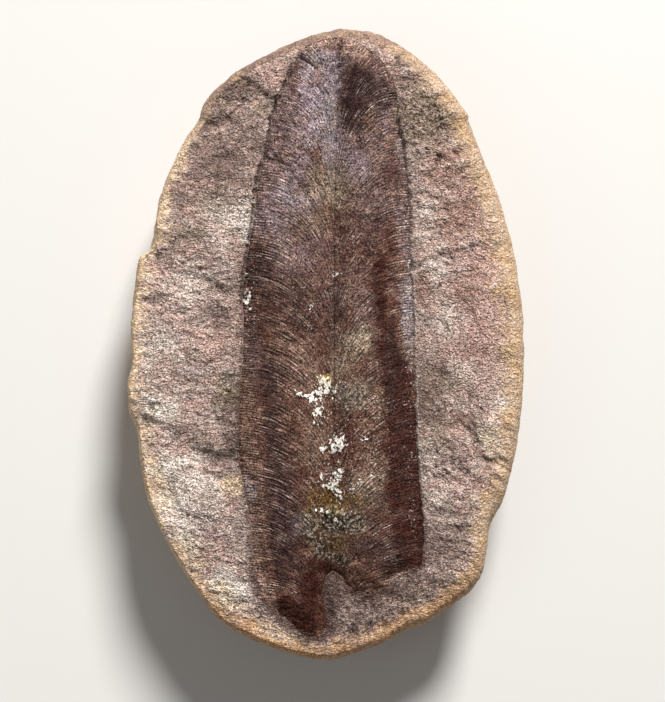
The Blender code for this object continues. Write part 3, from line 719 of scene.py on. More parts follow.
leafSheet = {
    "rowStep": 0.096,  # four rows to a vein
    "columns": 43,  # on each side of the midrib
    "searchSteps": 48,  # places along a vein where the margin is looked for
    "searchPast": 0.08,  # how far past its full turn a vein is followed, in radians
    "leastReach": 0.03,  # for a row that has no leaf on it
    "flowRadius": 14.0,  # turns a vein's angle into a length along it
    "skirt": 0.3,  # depth of the edge that closes the sheet below
    "wobbleShare": 0.4,
    "wobble": {"sizes": (2.0, 2.6), "seed": 15.0, "octaves": 4},
    "crustShare": 0.9,
    "crustEdge": {"sizes": (0.9, 1.1), "seed": 25.0, "octaves": 3},
    "worn": {"sizes": (2.6, 2.0), "seed": 33.0, "octaves": 4},
    "sootPits": {"sizes": (0.6, 0.5), "seed": 61.0, "octaves": 2},
    "bare": {"sizes": (2.2, 1.6), "seed": 81.0, "octaves": 4},
    "firstRow": -42.3,
    "lastRow": 57.6,
    # dark stripes down the leaf: crisp edge, widths beside it, fade on the far side
    "bands": {
        "maroon": {
            "edge": [(6.7, 15.5), (6.6, 9.0), (7.1, 2.0), (8.1, -8.0), (8.7, -22.0), (9.6, -28.0),
                     (10.8, -34.0)],
            "widths": [2.6, 3.0, 3.4, 6.0, 7.5, 7.5, 6.5], "farFade": 1.6, "strength": 0.97},
        # on the leaf this is a dark wine-coloured band of film; the same tint name on the stone is a
        # painted shadow
        "wineAndPaintedShadow": {
            "edge": [(-9.6, -1.0), (-9.3, -9.0), (-9.1, -16.0), (-8.7, -24.0), (-8.1, -30.0),
                     (-7.2, -36.0)],
            "widths": [4.0, 4.6, 5.2, 5.6, 5.0, 4.0], "farFade": 3.4, "strength": 0.85},
    },
    "stains": {
        "mauve": [
            (-6.0, 32.5, 4.0, 8.0, 6, 1), (-7.8, 25.0, 3.8, 9.0, 8, 0.85),
            (6.5, 20.0, 4.5, 7.0, 0, 0.55), (-2.0, 15.5, 6.0, 4.0, 0, 0.5),
            (8.0, 38.0, 3.0, 4.0, 0, 0.4), (-7.5, 21.0, 4.0, 4.0, 0, 0.8),
            (5.5, 26.5, 5.0, 5.0, 0, 0.7), (-4.5, 12.5, 4.5, 3.5, 0, 0.7),
            (8.8, 32.5, 2.2, 3.0, 0, 0.9), (3.5, 19.5, 3.0, 3.0, 0, 0.5), (5.5, 3.5, 2.5, 3.5, 0, 0.4),
            (1.5, 8.5, 5.5, 6.0, 0, 0.35), (-10.6, -1.0, 1.6, 5.0, 0, 0.7),
        ],
        "violet": [
            (-1.6, 34.0, 2.8, 7.5, 6, 1), (0.6, 38.6, 2.8, 4.4, 0, 0.9), (1.0, 28.0, 2.2, 6.0, 0, 0.8),
            (-4.4, 20.6, 4.0, 2.6, 0, 0.9), (-9.0, 17.6, 3.2, 2.4, 0, 0.65),
            (-3.0, 25.0, 3.0, 3.0, 0, 0.5), (4.2, 25.4, 2.4, 2.4, 0, 0.6),
            (11.6, 17.0, 1.6, 9.0, 0, 0.25),
        ],
        "maroon": [
            (9.2, 24.6, 2.0, 2.8, 0, 0.5), (8.9, 15.5, 1.4, 6.0, 4, 0.4),
            (-5.2, -28.5, 3.0, 6.0, 0, 0.6), (-3.8, -39.1, 4.4, 3.2, -30, 1),
            (-2.4, -35.0, 2.4, 5.5, 0, 1), (-1.8, -38.6, 2.2, 4.4, 0, 0.8),
            (-9.6, 3.0, 2.6, 8.0, 0, 0.5), (4.6, -34.2, 3.0, 1.4, -30, 0.15),
            (0.2, -32.4, 2.6, 1.6, -10, 0.9), (-6.0, 7.0, 4.4, 4.0, -20, 0.25),
            (6.4, -30.6, 2.4, 2.6, 0, 0.5), (9.6, -31.6, 3.4, 2.2, 0, 0.4),
            (2.4, -9.5, 2.0, 3.0, 0, 0.4), (6.6, 16.5, 2.0, 5.0, 0, 0.5),
        ],
        "rust": [
            (0.6, 9.3, 2.3, 8.7, 0, 0.35), (2.8, 15.2, 3.8, 5.8, 20, 0.4), (3.5, -5.2, 2, 2, 0, 0.4),
            (2, -15.5, 3.2, 3.8, 0, 0.5), (-3.8, -19.8, 2.3, 4.4, 0, 0.3),
            (6.4, -25.7, 3.8, 5.8, 0, 0.3), (8.6, 12.0, 1.5, 5.8, 0, 0.7), (9.6, 2.0, 1.2, 6.0, 0, 0.5),
        ],
        "dusk": [
            (4.6, 37.5, 2.8, 3.2, 30, 1), (4.4, 33.6, 2.8, 3.0, 20, 1), (7.4, 36.0, 2.4, 3.0, 0, 0.85),
            (-9.6, 11.4, 2.6, 3.4, 0, 0.9), (-6.4, 7.4, 4.0, 3.6, -20, 0.5),
            (-3.4, 3.6, 3.4, 3.0, -30, 0.6), (-5.0, -25.5, 2.8, 7.0, 4, 0.6),
            (-4.6, -22.5, 3.2, 5.0, 0, 0.4), (6.5, -24.5, 3.0, 4.5, 0, 0.4),
            (1.0, 4.0, 2.0, 5.0, 0, 0.4), (-8.0, -5.0, 2.2, 3.0, 0, 0.5), (9.6, -4.0, 1.2, 5.8, 0, 0.5),
            (6.8, -5.0, 1.6, 1.8, 0, 0.5), (9.4, -31.6, 2.4, 2.0, 0, 0.7),
            (6.4, -30.8, 1.6, 2.0, 0, 0.5), (7.2, -29.2, 5.2, 1.5, 0, 0.8),
        ],
        "fawn": [
            (-11.4, -15.0, 1.6, 11.0, 2, 0.4), (-10.6, -28.0, 1.5, 7.6, 5, 0.8),
            (1.3, -1.6, 1.7, 3.8, 0, 0.3), (-2.6, -4.6, 3.4, 3.0, 0, 0.4),
            (-0.9, 22.5, 3.8, 4.4, 0, 0.2), (6.2, -18.4, 2.2, 3.4, 0, 0.4),
            (5.6, -23.6, 3.0, 3.0, 0, 0.15), (10.1, -33, 3.8, 1.2, 20, 0.3),
            (-3.4, -2.0, 4.0, 2.2, -20, 0.3),
        ],
        "khaki": [
            (4.3, -0.1, 3.0, 2.2, 35, 0.8), (2.0, -3.4, 1.8, 2.0, 0, 0.5),
            (3.8, -7.6, 2.6, 2.4, 0, 0.7), (0.4, 22.6, 2.4, 2.6, 0, 0.5),
            (5.6, -21.0, 2.6, 2.6, 20, 0.5), (-1.6, -14.0, 2.2, 4.0, 0, 0.2),
        ],
        "olive": [
            (-0.1, 23.2, 3.8, 4.4, 0, 0.6), (1.3, 20.3, 2.9, 2.3, 0, 0.4),
            (7.9, -7.4, 2.3, 1.7, 0, 0.3), (-2.3, 18.8, 5.8, 3.5, 0, 0.3),
            (5.7, -28.6, 3.8, 3.5, 0, 0.1), (4.7, -22.7, 2.3, 2.3, 0, 0.3),
        ],
        # grey film, and along the right margin a painted sheen
        "hazeAndPaintedSheen": [
            (12.0, 6.5, 1.4, 5.0, 0, 0.7), (12.0, 2.4, 1.3, 4.6, 0, 1), (12.2, 12.0, 1.0, 4.9, 0, 0.25),
            (0.2, 32.0, 1.7, 7.0, 0, 0.8), (-1.2, 41.4, 2.6, 2.3, 0, 0.7),
            (-5.2, 21.9, 2.9, 2.3, 0, 0.4), (-11.1, -21.3, 1.2, 2.3, 0, 0.6),
            (-3.8, -26.4, 1.5, 2, 0, 0.2), (4.2, -7.4, 2.9, 2.6, 0, 0.1), (10.8, 28.3, 1.2, 2, 0, 0.4),
            (-6.7, 15.9, 1.7, 2.9, 0, 0.3),
        ],
        "ochre": [
            (0.0, -22.4, 3.5, 2.2, 0, 1), (1.2, -28.9, 2.0, 1.6, 0, 1), (3.6, -22.6, 2.4, 1.6, 0, 0.6),
            (-0.6, -10.4, 2, 2, 0, 0.3), (2.8, -22.7, 2, 2, 0, 0.4), (-0.1, -5, 1.3, 1.7, 0, 0.3),
            (-1.8, -24.8, 1.1, 3.4, 15, 0.9),
        ],
        "soot": [
            (1.4, -26.0, 3.6, 2.2, 0, 1), (-0.8, -29.5, 1.4, 1.9, 0, 0.8),
            (0.3, -28.2, 3.0, 2.2, 0, 0.35), (-1.9, -27.0, 1.6, 2.8, 0, 0.7),
            (4.2, -26.0, 2.2, 2.2, 0, 0.8), (2, -31.2, 2.2, 0.9, -20, 0.7),
            (3.7, -7.7, 2.2, 2.2, 0, 0.4),
        ],
        "combed": [
            (-5.5, -2.2, 5.0, 3.6, -25, 1), (4.4, 0.6, 3.6, 3.0, 30, 1),
            (-5.2, -25.0, 5.0, 8.0, 0, 0.65), (-10.8, -12.0, 1.6, 7.0, 0, 1),
            (-4.0, 31.0, 4.0, 8.0, 20, 0.8), (3.0, 29.0, 2.2, 5.0, -20, 0.9),
            (6.5, 24.0, 2.4, 4.0, -30, 0.7), (6.0, -24.0, 3.0, 6.0, 0, 0.5),
            (8.0, -16.0, 2.5, 6.0, -10, 0.6), (-8.0, -20.0, 3.0, 9.0, 0, 0.9),
        ],
        "tipRose": [
            (-1.5, 43.8, 4.5, 1.8, 0, 1), (4.0, 43.2, 3.0, 1.8, -20, 1),
            (-9.2, -36.0, 1.6, 2.8, 15, 0.9), (10.5, -33.7, 2.0, 0.5, 25, 1),
        ],
        "dust": [
            (12.2, 4.0, 1.3, 24.0, 0, 0.9), (1.2, -9.0, 5.0, 6.0, 0, 0.9),
            (1.5, -20.0, 4.5, 7.0, 0, 0.9), (-10.8, 6.0, 1.3, 8.0, 0, 0.9),
            (6.5, -12.0, 4.0, 12.0, 0, 0.6), (12.6, -16.0, 1.0, 14.0, 0, 0.7),
            (3.0, 14.0, 5.0, 10.0, 0, 0.4), (-4.0, 4.0, 4.0, 8.0, 0, 0.4),
        ],
        "straw": [(-0.2, -5.2, 1.2, 0.9, 0, 0.9), (1.6, -24.3, 1.6, 0.9, 0, 0.5)],
    },
    # white mineral crusts, given as the stains are
    "crusts": [
        (-0.3, -6.8, 1.4, 1.5, 0, 1), (-0.2, -5.4, 1.1, 0.9, 0, 0.95), (-2.2, -7.8, 1.0, 0.7, 0, 0.95),
        (-3.9, -7.3, 1.0, 0.5, -10, 0.9), (-1.1, -10.0, 0.7, 1.3, -15, 0.95),
        (1.6, -14.4, 1.2, 1.4, 0, 1), (-0.3, -15.3, 0.7, 0.6, 0, 0.7), (1.55, -19.5, 0.8, 1.9, -8, 1),
        (0.6, -20.7, 1.0, 0.8, 0, 1), (2.0, -21.8, 0.5, 1.0, 0, 0.95),
        (-0.4, -19.3, 0.7, 0.4, 30, 0.85), (0.8, -24.5, 2.2, 0.4, -6, 0.7),
        (1.5, -25.7, 0.4, 1.0, 0, 0.6), (3.7, -21.0, 0.7, 0.4, 20, 0.75),
        (4.8, -20.1, 0.6, 0.4, 0, 0.7), (6.7, -19.1, 0.6, 0.4, 0, 0.7), (5.3, -13.9, 0.6, 0.4, 25, 0.7),
        (4.8, -17.2, 0.6, 0.3, 35, 0.5), (-11.5, 6.6, 0.5, 1.3, 0, 0.95),
        (-11.4, 9.8, 0.4, 0.4, 0, 0.85), (-10.9, 4.8, 0.4, 0.4, 0, 0.8), (-2.2, 5, 0.4, 0.4, 0, 0.8),
        (1.5, 9.9, 0.5, 0.5, 45, 0.7),
    ],
}


def veinPoint(row, angle, side):  # a vein climbs along the midrib and turns out to the margin
    rise = np.clip((row - leaf["veinFoot"]) * leaf["footRise"], leaf["leastRise"], leaf["veinRise"])
    y = row - rise * (1.0 - np.sin(angle))
    mid = sideX("midrib", y)
    half = sideX("veinLeft" if side < 0 else "veinRight", y) - mid
    return np.column_stack([mid + half * (1.0 - np.cos(angle)), y])


def veinRidges(row, angle, side):  # four veins at the margin join to two and to one inwards
    pitch = leaf["veinPitch"]
    group = np.floor(row / (4 * pitch))
    off = row - (group + 0.5) * 4 * pitch
    turn = angle / (math.pi / 2)
    groups, place = np.unique(group, return_inverse=True)

    def pick(seed):  # a fixed draw for each group of four veins
        draws = [noise.cell(Vector((g * 1.37 + seed, side * 3.1, seed * 2.3))) for g in groups]
        return np.array(draws)[place]

    firstFork = 0.14 + 0.26 * pick(1.7)
    outer = smoothstep(firstFork, firstFork + 0.34, turn) * pitch
    slope = (leaf["veinRise"] / leaf["halfWidth"]) / np.tan(np.maximum(angle, 0.05))
    width = leaf["veinWidth"] * np.sqrt(1.0 + slope**2)
    best = np.zeros(len(row))
    bright = np.zeros(len(row))
    for branch in (-1, 1):
        secondFork = 0.44 + 0.3 * pick(4.1 + branch)
        inner = smoothstep(secondFork, secondFork + 0.26, turn) * pitch / 2
        for twig in (-1, 1):
            ridge = np.exp(-((off - branch * outer - twig * inner) / width) ** 2)
            best = np.maximum(best, ridge)
            bright = np.maximum(bright, ridge * pick(9.3 + 2.7 * branch + 5.1 * twig) ** 2)
    return best, bright


def leafHalf(side, rowPlaces):  # points along the veins of one side, out to the hem under the stone
    columns, steps = leafSheet["columns"], leafSheet["searchSteps"]
    search = np.linspace(0.0, math.pi / 2 + leafSheet["searchPast"], steps)
    rowGrid, angleGrid = np.meshgrid(rowPlaces, search, indexing="ij")
    spots = veinPoint(rowGrid.ravel(), angleGrid.ravel(), side)
    depth = ringDistance(spots, leafRing).reshape(-1, steps) + leaf["hem"]
    reach = np.full(len(rowPlaces), leafSheet["leastReach"])
    for i, line in enumerate(depth):
        held = np.nonzero(line > 0.0)[0]
        if len(held):
            j = held[-1]
            reach[i] = search[j]
            if j + 1 < steps:
                part = line[j] / (line[j] - line[j + 1])
                reach[i] = search[j] + part * (search[j + 1] - search[j])
    angle = (reach[:, None] * np.linspace(0.0, 1.0, columns + 1)).ravel()
    row = np.repeat(rowPlaces, columns + 1)
    ridge, bright = veinRidges(row, angle, side)
    values = {"xy": veinPoint(row, angle, side), "angle": side * angle, "ridge": ridge,
              "bright": bright}
    return {name: value.reshape(len(rowPlaces), columns + 1, *value.shape[1:])
            for name, value in values.items()}


def leafStains(xy):
    wobble = leafSheet["wobbleShare"] * flatNoise(xy, **leafSheet["wobble"])
    ragged = leafSheet["crustShare"] * flatNoise(xy, **leafSheet["crustEdge"])
    masks = {name: stainMask(xy, marks, wobble) for name, marks in leafSheet["stains"].items()}
    masks["kaolin"] = stainMask(xy, leafSheet["crusts"], ragged, 0.6)
    for name, band in leafSheet["bands"].items():
        masks[name] = np.maximum(masks.get(name, 0.0), bandMask(xy, band, wobble))
    return masks


def veinClearness(xy, turned, masks):  # 0 where the veins are worn away, 1 where they stand clear
    worn = flatNoise(xy, **leafSheet["worn"])
    clear = np.clip(0.2 + 1.8 * worn + 0.35 * smoothstep(0.75, 1.3, turned), 0.04, 1.2)
    clear = np.maximum(clear, masks["combed"] * (0.7 + 0.9 * worn)) * (1.0 - 0.93 * masks["maroon"])
    fromMid = np.abs(xy[:, 0] - sideX("midrib", xy[:, 1]))
    rooted = smoothstep(-18.0, -23.0, xy[:, 1]) * smoothstep(5.0, 2.0, fromMid)
    return clear * (1.0 - 0.75 * rooted)


def leafRelief(xy, inside, ridge, clear, masks):
    height = leafHeight(xy, np.maximum(inside, 0.0))
    for crease in leaf["creases"]:
        height = height + ledgeHeight(xy, *crease)
    for lump, width, seed in leaf["lumps"]:
        height = height + lump * flatNoise(xy, (width, 0.8 * width), seed, 3)
    height = height + leaf["veinHeight"] * ridge * clear
    height = height + leaf["crustHeight"] * smoothstep(0.4, 0.9, masks["kaolin"])
    pits = smoothstep(0.0, 0.3, flatNoise(xy, **leafSheet["sootPits"]))
    height = height - leaf["sootDepth"] * masks["soot"] * pits
    height = height - leaf["hemDrop"] * smoothstep(0.0, leaf["hem"], -inside)
    return height - 0.6 * smoothstep(leaf["hem"], leaf["hem"] + 0.6, -inside)


def makeLeaf(material):
    first, last = leafSheet["firstRow"], leafSheet["lastRow"]
    rowPlaces = np.linspace(first, last, int((last - first) / leafSheet["rowStep"]))
    left, right = [leafHalf(side, rowPlaces) for side in (-1, 1)]
    sheet = {name: np.concatenate([left[name][:, :0:-1], right[name]], axis=1) for name in left}
    size = sheet["angle"].shape
    xy = sheet["xy"].reshape(-1, 2)
    turned, ridge, bright = (sheet[name].ravel() for name in ("angle", "ridge", "bright"))
    turned = np.abs(turned)
    inside = ringDistance(xy, leafRing)

    masks = leafStains(xy)
    clear = veinClearness(xy, turned, masks)
    height = leafRelief(xy, inside, ridge, clear, masks)
    shown = clear * (0.35 + 0.65 * smoothstep(0.0, 0.35, turned))
    masks["vein"] = (0.3 * ridge + bright) * shown
    # the grooves between the veins, darkened below as painted shade
    masks["groove"] = smoothstep(0.6, 0.05, ridge) * np.minimum(clear, 1.0)
    masks["worn"] = smoothstep(0.0, 0.35, flatNoise(xy, **leafSheet["bare"]))
    # painted shade along the open seam between leaf and stone
    masks["seam"] = smoothstep(0.45, 0.0, inside) * marginGap(xy)
    masks["flowRow"] = np.repeat(rowPlaces, size[1])
    masks["flowAlong"] = sheet["angle"] * leafSheet["flowRadius"]
    masks = {name: mask.reshape(size) for name, mask in masks.items()}
    points = np.column_stack([xy, height]).reshape(size + (3,))

    bm = gridSheet(points * unit - middle * unit, masks)
    rim = [e for e in bm.edges if e.is_boundary]
    skirt = bmesh.ops.extrude_edge_only(bm, edges=rim)["geom"]
    low = [v for v in skirt if isinstance(v, bmesh.types.BMVert)]
    bmesh.ops.translate(bm, verts=low, vec=(0.0, 0.0, -leafSheet["skirt"] * unit))
    bmesh.ops.holes_fill(bm, edges=[e for e in bm.edges if e.is_boundary], sides=0)
    return finishPiece(bm, "leaf_film", material)


# materials

def startMaterial(name, maskNames):  # its nodes, the place on the piece and the piece's own masks
    material = bpy.data.materials.new(name)
    material.use_nodes = True
    tree = material.node_tree
    place = addNode(tree, "ShaderNodeTexCoord", output="Object")
    masks = {mask: addNode(tree, "ShaderNodeAttribute", output="Fac", attribute_name=mask)
             for mask in maskNames}
    return material, tree, place, masks


def grit(tree, place, mm, detail, stretch=(1.0, 1.0, 1.0), turn=0.0, cut=None):  # noise of a real size
    place = addNode(tree, "ShaderNodeMapping", {
        "Vector": place, "Rotation": (0.0, 0.0, math.radians(turn)), "Scale": stretch})
    value = addNode(tree, "ShaderNodeTexNoise", {
        "Vector": place, "Scale": 1000 / mm, "Detail": detail}, "Fac")
    return addNode(tree, "ShaderNodeMapRange", dict(enumerate((value, *cut)))) if cut else value


def wrinkle(tree, place, mm, stretch, turn):  # zero along fine crooked creases
    folds = grit(tree, place, mm, 4.0, stretch, turn)
    offMiddle = addNode(tree, "ShaderNodeMath", {0: folds, 1: 0.5}, operation="SUBTRACT")
    return addNode(tree, "ShaderNodeMath", {0: offMiddle}, operation="ABSOLUTE")


def lay(tree, color, layers):  # lays each tone over the last, by its mask and a share of it
    for mask, share, tone in layers:
        amount = addNode(tree, "ShaderNodeMath", {0: mask, 1: share}, operation="MULTIPLY")
        color = addNode(tree, "ShaderNodeMix", {0: amount, 6: color, 7: hexColor(tone)}, 2,
                        data_type="RGBA")
    return color


def shadeBy(tree, color, shades):  # each: a pattern, its range, and what it multiplies the tone by
    for shade in shades:
        factor = addNode(tree, "ShaderNodeMapRange", dict(enumerate(shade)))
        color = addNode(tree, "ShaderNodeVectorMath", {0: color, 3: factor}, operation="SCALE")
    return color


def finishMaterial(material, look, color, roughness, height):
    tree = material.node_tree
    bump = addNode(tree, "ShaderNodeBump", {
        "Strength": look["reliefStrength"], "Distance": look["reliefDepth"], "Height": height})
    sockets = tree.nodes["Principled BSDF"].inputs
    feed(sockets["Base Color"], color)
    feed(sockets["Roughness"], roughness)
    feed(sockets["Specular IOR Level"], look["specular"])
    feed(sockets["Normal"], bump)
    return material


stoneLook = {
    "pink": "#a4867b", "grey": "#97837a", "cream": "#bfaca0",
    # the pale tint is partly painted light, the umber tint partly painted shade, and the wine tint a
    # painted shadow
    "tints": {"paleAndPaintedLight": "#cbbdb1", "rose": "#ac897e", "olive": "#7d6e58", "straw": "#bfa888",
              "plum": "#77635e", "umberAndPaintedShade": "#735e55", "brick": "#8f7063", "wineAndPaintedShadow": "#4d3733"},
    "rind": "#a99179", "rindOrange": "#a98353", "backTone": "#8a7060",
    # brown at the base is partly painted shade, pale on the left partly painted light
    "rindTints": {"rindPink": "#6d574c", "rindBrownAndPaintedShade": "#a8825f", "rindPaleAndPaintedLight": "#c9af90"},
    # the dark tone paints shade in hollows, under ledges and in the seam, and darkens the stone beside
    # the leaf and its pores; the crest and lip tones are painted highlights
    "shadeAndDirt": "#3b2e28", "crestHighlightTone": "#dccdc1", "lipHighlightTone": "#dccbbf", "filmTone": "#45332d",
    "shadeAndDirtShares": {"hollow": 0.36, "shade": 0.45, "beside": 0.25}, "mostShadeAndDirt": 0.8,
    # patterns: size in mm, detail, stretch, turn, and the noise's range with what it is spread to
    "hue": {"mm": 3.6, "detail": 4.0, "stretch": (1.0, 1.5, 1.0), "cut": (0.4, 0.6, 0.0, 1.0)},
    "patchy": (0.0, 1.0, 0.6, 1.1),  # the hue's range and how strongly a tint lies there
    "mottle": {"mm": 1.1, "detail": 3.0, "stretch": (1.0, 1.6, 1.0), "cut": (0.42, 0.68, 0.0, 0.58)},
    "rust": {"mm": 2.6, "detail": 5.0, "cut": (0.44, 0.66, 0.0, 0.55)},
    "weather": {"mm": 11.0, "detail": 5.0, "cut": (0.42, 0.6, 0.0, 0.75)},
    "pores": {"mm": 0.38, "detail": 1.0, "cut": (0.53, 0.62, 0.0, 0.8)},
    "pebble": {"mm": 0.6, "detail": 2.0, "stretch": (1.0, 1.5, 1.0), "turn": -10.0},
    # the rock's own grain is too fine to show, so it is drawn coarser
    "grain": {"mm": 0.22, "detail": 1.0, "stretch": (1.0, 1.35, 1.0), "turn": 12.0},
    "crinkle": {"mm": 1.0, "stretch": (1.0, 1.5, 1.0), "turn": 10.0},
    "relief": {"mm": 0.44, "detail": 3.0, "stretch": (1.0, 1.35, 1.0), "turn": 12.0},
    "reliefDepth": 0.00034, "reliefStrength": 0.9, "creaseDepth": 2.5,
    "roughness": 0.9, "specular": 0.15,
}


def stoneTone(tree, place, masks, patchy, hue):
    look = stoneLook
    color = addNode(tree, "ShaderNodeMix", {
        0: hue, 6: hexColor(look["pink"]), 7: hexColor(look["grey"])}, 2, data_type="RGBA")
    color = lay(tree, color, [(grit(tree, place, **look["mottle"]), 1.0, look["cream"])])
    return lay(tree, color, [(masks[name], patchy, tone) for name, tone in look["tints"].items()])


def rindTone(tree, place, masks, patchy):
    look = stoneLook
    rusty = grit(tree, place, **look["rust"])
    color = addNode(tree, "ShaderNodeMix", {
        0: rusty, 6: hexColor(look["rind"]), 7: hexColor(look["rindOrange"])}, 2, data_type="RGBA")
    color = lay(tree, color, [(masks[name], patchy, tone) for name, tone in look["rindTints"].items()])
    return lay(tree, color, [(masks["back"], grit(tree, place, **look["weather"]), look["backTone"])])


def ironstoneMaterial():  # weathered siderite: dull, pink-brown and gritty, with a tan rind
    look = stoneLook
    material, tree, place, masks = startMaterial("broken_ironstone", [
        *look["tints"], *look["rindTints"], "rind", "back", "hollow", "crest", "shade", "beside",
        "lip", "film", "seam"])
    hue = grit(tree, place, **look["hue"])
    patchy = addNode(tree, "ShaderNodeMapRange", dict(enumerate((hue, *look["patchy"]))))
    color = addNode(tree, "ShaderNodeMix", {
        0: masks["rind"], 6: stoneTone(tree, place, masks, patchy, hue),
        7: rindTone(tree, place, masks, patchy)}, 2, data_type="RGBA")

    # painted shade in hollows and under ledges, with the darker stone beside the leaf
    shadeAndDirt = 0.0
    for name, share in look["shadeAndDirtShares"].items():
        shadeAndDirt = addNode(tree, "ShaderNodeMath", {0: masks[name], 1: share, 2: shadeAndDirt},
                       operation="MULTIPLY_ADD")
    shadeAndDirt = addNode(tree, "ShaderNodeMath", {0: shadeAndDirt, 1: look["mostShadeAndDirt"]}, operation="MINIMUM")
    # painted highlights on crests and the lip, then painted shade, dark pores, leaf film and painted
    # shade in the seam
    color = lay(tree, color, [
        (masks["crest"], 0.25, look["crestHighlightTone"]),
        (masks["lip"], 0.5, look["lipHighlightTone"]),
        (shadeAndDirt, 1.0, look["shadeAndDirt"]),
        (grit(tree, place, **look["pores"]), masks["olive"], look["shadeAndDirt"]),
        (masks["film"], 1.0, look["filmTone"]),
        (masks["seam"], 0.8, look["shadeAndDirt"]),
    ])

    # grain and the painted shade along creases are weaker on the rind
    grainLow = addNode(tree, "ShaderNodeMapRange", {0: masks["rind"], 3: 0.12, 4: 0.5})
    creaseLow = addNode(tree, "ShaderNodeMapRange", {0: masks["rind"], 3: 0.6, 4: 0.8})
    crinkle = wrinkle(tree, place, **look["crinkle"])
    color = shadeBy(tree, color, [
        (grit(tree, place, **look["grain"]), 0.3, 0.7, grainLow, 1.88),
        (grit(tree, place, **look["pebble"]), 0.3, 0.7, 0.85, 1.15),
        # painted shade along fine crooked creases
        (crinkle, 0.0, 0.06, creaseLow, 1.14),
    ])
    folds = addNode(tree, "ShaderNodeMath", {0: crinkle, 1: 0.08}, operation="MINIMUM")
    height = addNode(tree, "ShaderNodeMath", {
        0: folds, 1: look["creaseDepth"], 2: grit(tree, place, **look["relief"])},
        operation="MULTIPLY_ADD")
    return finishMaterial(material, look, color, look["roughness"], height)


leafLook = {
    "base": "#54392f",
    # the haze tint is partly a grey film and partly a painted sheen
    "tints": {"mauve": "#6d5957", "violet": "#847379", "rust": "#48221a", "olive": "#6b5a45",
              "fawn": "#70584c", "khaki": "#8c7c69", "maroon": "#2f130c", "wineAndPaintedShadow": "#301d1c",
              "dusk": "#2c1b1b", "hazeAndPaintedSheen": "#7f7475", "ochre": "#523a19", "soot": "#241f1a",
              "tipRose": "#8f7368"},
    "wornTone": "#745c4d", "veinTone": "#ccb5a6", "seamShadeTone": "#1a1210",
    "crust": "#faf5ea", "crustStain": "#d8c8a4", "strawTone": "#a88f58", "ashTone": "#968977",
    "streakMm": (0.2, 2.1),  # across and along the veins
    "mottle": {"mm": 0.9, "detail": 4.0},
    "patchy": (0.36, 0.64, 0.78, 1.15),  # the mottle's range and how strongly a tint lies there
    "ash": {"mm": 0.5, "detail": 2.0, "cut": (0.49, 0.6, 0.0, 0.85)},
    "grain": {"mm": 0.22, "detail": 1.0},  # the film's own is finer and would not show
    "crinkle": {"mm": 0.9, "stretch": (1.0, 1.3, 1.0), "turn": 20.0},
    "crumbs": {"mm": 0.45, "detail": 5.0},
    "crumbShare": 4.6,  # how far crumbs break up the crusts' edges
    "specks": {"mm": 0.32, "detail": 0.0, "cut": (0.71, 0.77, 0.0, 1.0)},
    "relief": {"mm": 0.36, "detail": 3.0},
    "reliefDepth": 0.0003, "reliefStrength": 0.8, "streakDepth": 0.6,
    "roughness": 0.7, "maroonRoughness": 0.58, "specular": 0.09,
}


def veinStreaks(tree, masks):  # noise drawn out along the veins
    across, along = leafLook["streakMm"]
    row = addNode(tree, "ShaderNodeMath", {0: masks["flowRow"], 1: 1 / across}, operation="MULTIPLY")
    run = addNode(tree, "ShaderNodeMath", {0: masks["flowAlong"], 1: 1 / along}, operation="MULTIPLY")
    flow = addNode(tree, "ShaderNodeCombineXYZ", {0: row, 1: run})
    return addNode(tree, "ShaderNodeTexNoise", {"Vector": flow, "Scale": 1.0, "Detail": 2.0}, "Fac")


def filmTone(tree, place, masks, patchy, streak):
    look = leafLook
    dark = 0.0
    for name in ("maroon", "wineAndPaintedShadow", "dusk", "ochre", "soot"):
        dark = addNode(tree, "ShaderNodeMath", {0: masks[name], 1: dark}, operation="MAXIMUM")
    bareShare = addNode(tree, "ShaderNodeMapRange", {0: dark, 3: 0.45, 4: 0.05})
    bare = addNode(tree, "ShaderNodeMath", {0: masks["worn"], 1: bareShare}, operation="MULTIPLY")
    lineShare = addNode(tree, "ShaderNodeMapRange", dict(enumerate((streak, 0.4, 0.64, 0.04, 0.4))))
    layers = [(masks[name], patchy, tone) for name, tone in look["tints"].items()]
    return lay(tree, hexColor(look["base"]), layers + [
        (bare, patchy, look["wornTone"]),
        (masks["vein"], lineShare, look["veinTone"]),
        (masks["soot"], grit(tree, place, **look["ash"]), look["ashTone"]),
        (masks["straw"], 0.6, look["strawTone"]),
        # painted shade along the open seam
        (masks["seam"], 0.9, look["seamShadeTone"]),
    ])


def crustOver(tree, place, masks, patchy, color):  # white kaolin: crumbled crusts and scattered specks
    look = leafLook
    crust = addNode(tree, "ShaderNodeMath", {
        0: grit(tree, place, **look["crumbs"]), 1: look["crumbShare"], 2: masks["kaolin"]},
        operation="MULTIPLY_ADD")
    crust = addNode(tree, "ShaderNodeMapRange", {0: crust, 1: 3.02, 2: 3.24})
    within = addNode(tree, "ShaderNodeMapRange", {0: masks["kaolin"], 1: 0.02, 2: 0.2})
    crust = addNode(tree, "ShaderNodeMath", {0: crust, 1: within}, operation="MULTIPLY")
    specks = grit(tree, place, **look["specks"])
    fewer = addNode(tree, "ShaderNodeMapRange", {0: masks["maroon"], 3: 1.0, 4: 0.7})
    for share in (masks["dust"], 0.55, fewer):
        specks = addNode(tree, "ShaderNodeMath", {0: specks, 1: share}, operation="MULTIPLY")
    white = addNode(tree, "ShaderNodeMix", {
        0: patchy, 6: hexColor(look["crustStain"]), 7: hexColor(look["crust"])}, 2, data_type="RGBA")
    white = lay(tree, white, [(masks["straw"], 0.6, look["crustStain"])])
    amount = addNode(tree, "ShaderNodeMath", {0: crust, 1: specks}, operation="MAXIMUM")
    return addNode(tree, "ShaderNodeMix", {0: amount, 6: color, 7: white}, 2, data_type="RGBA")


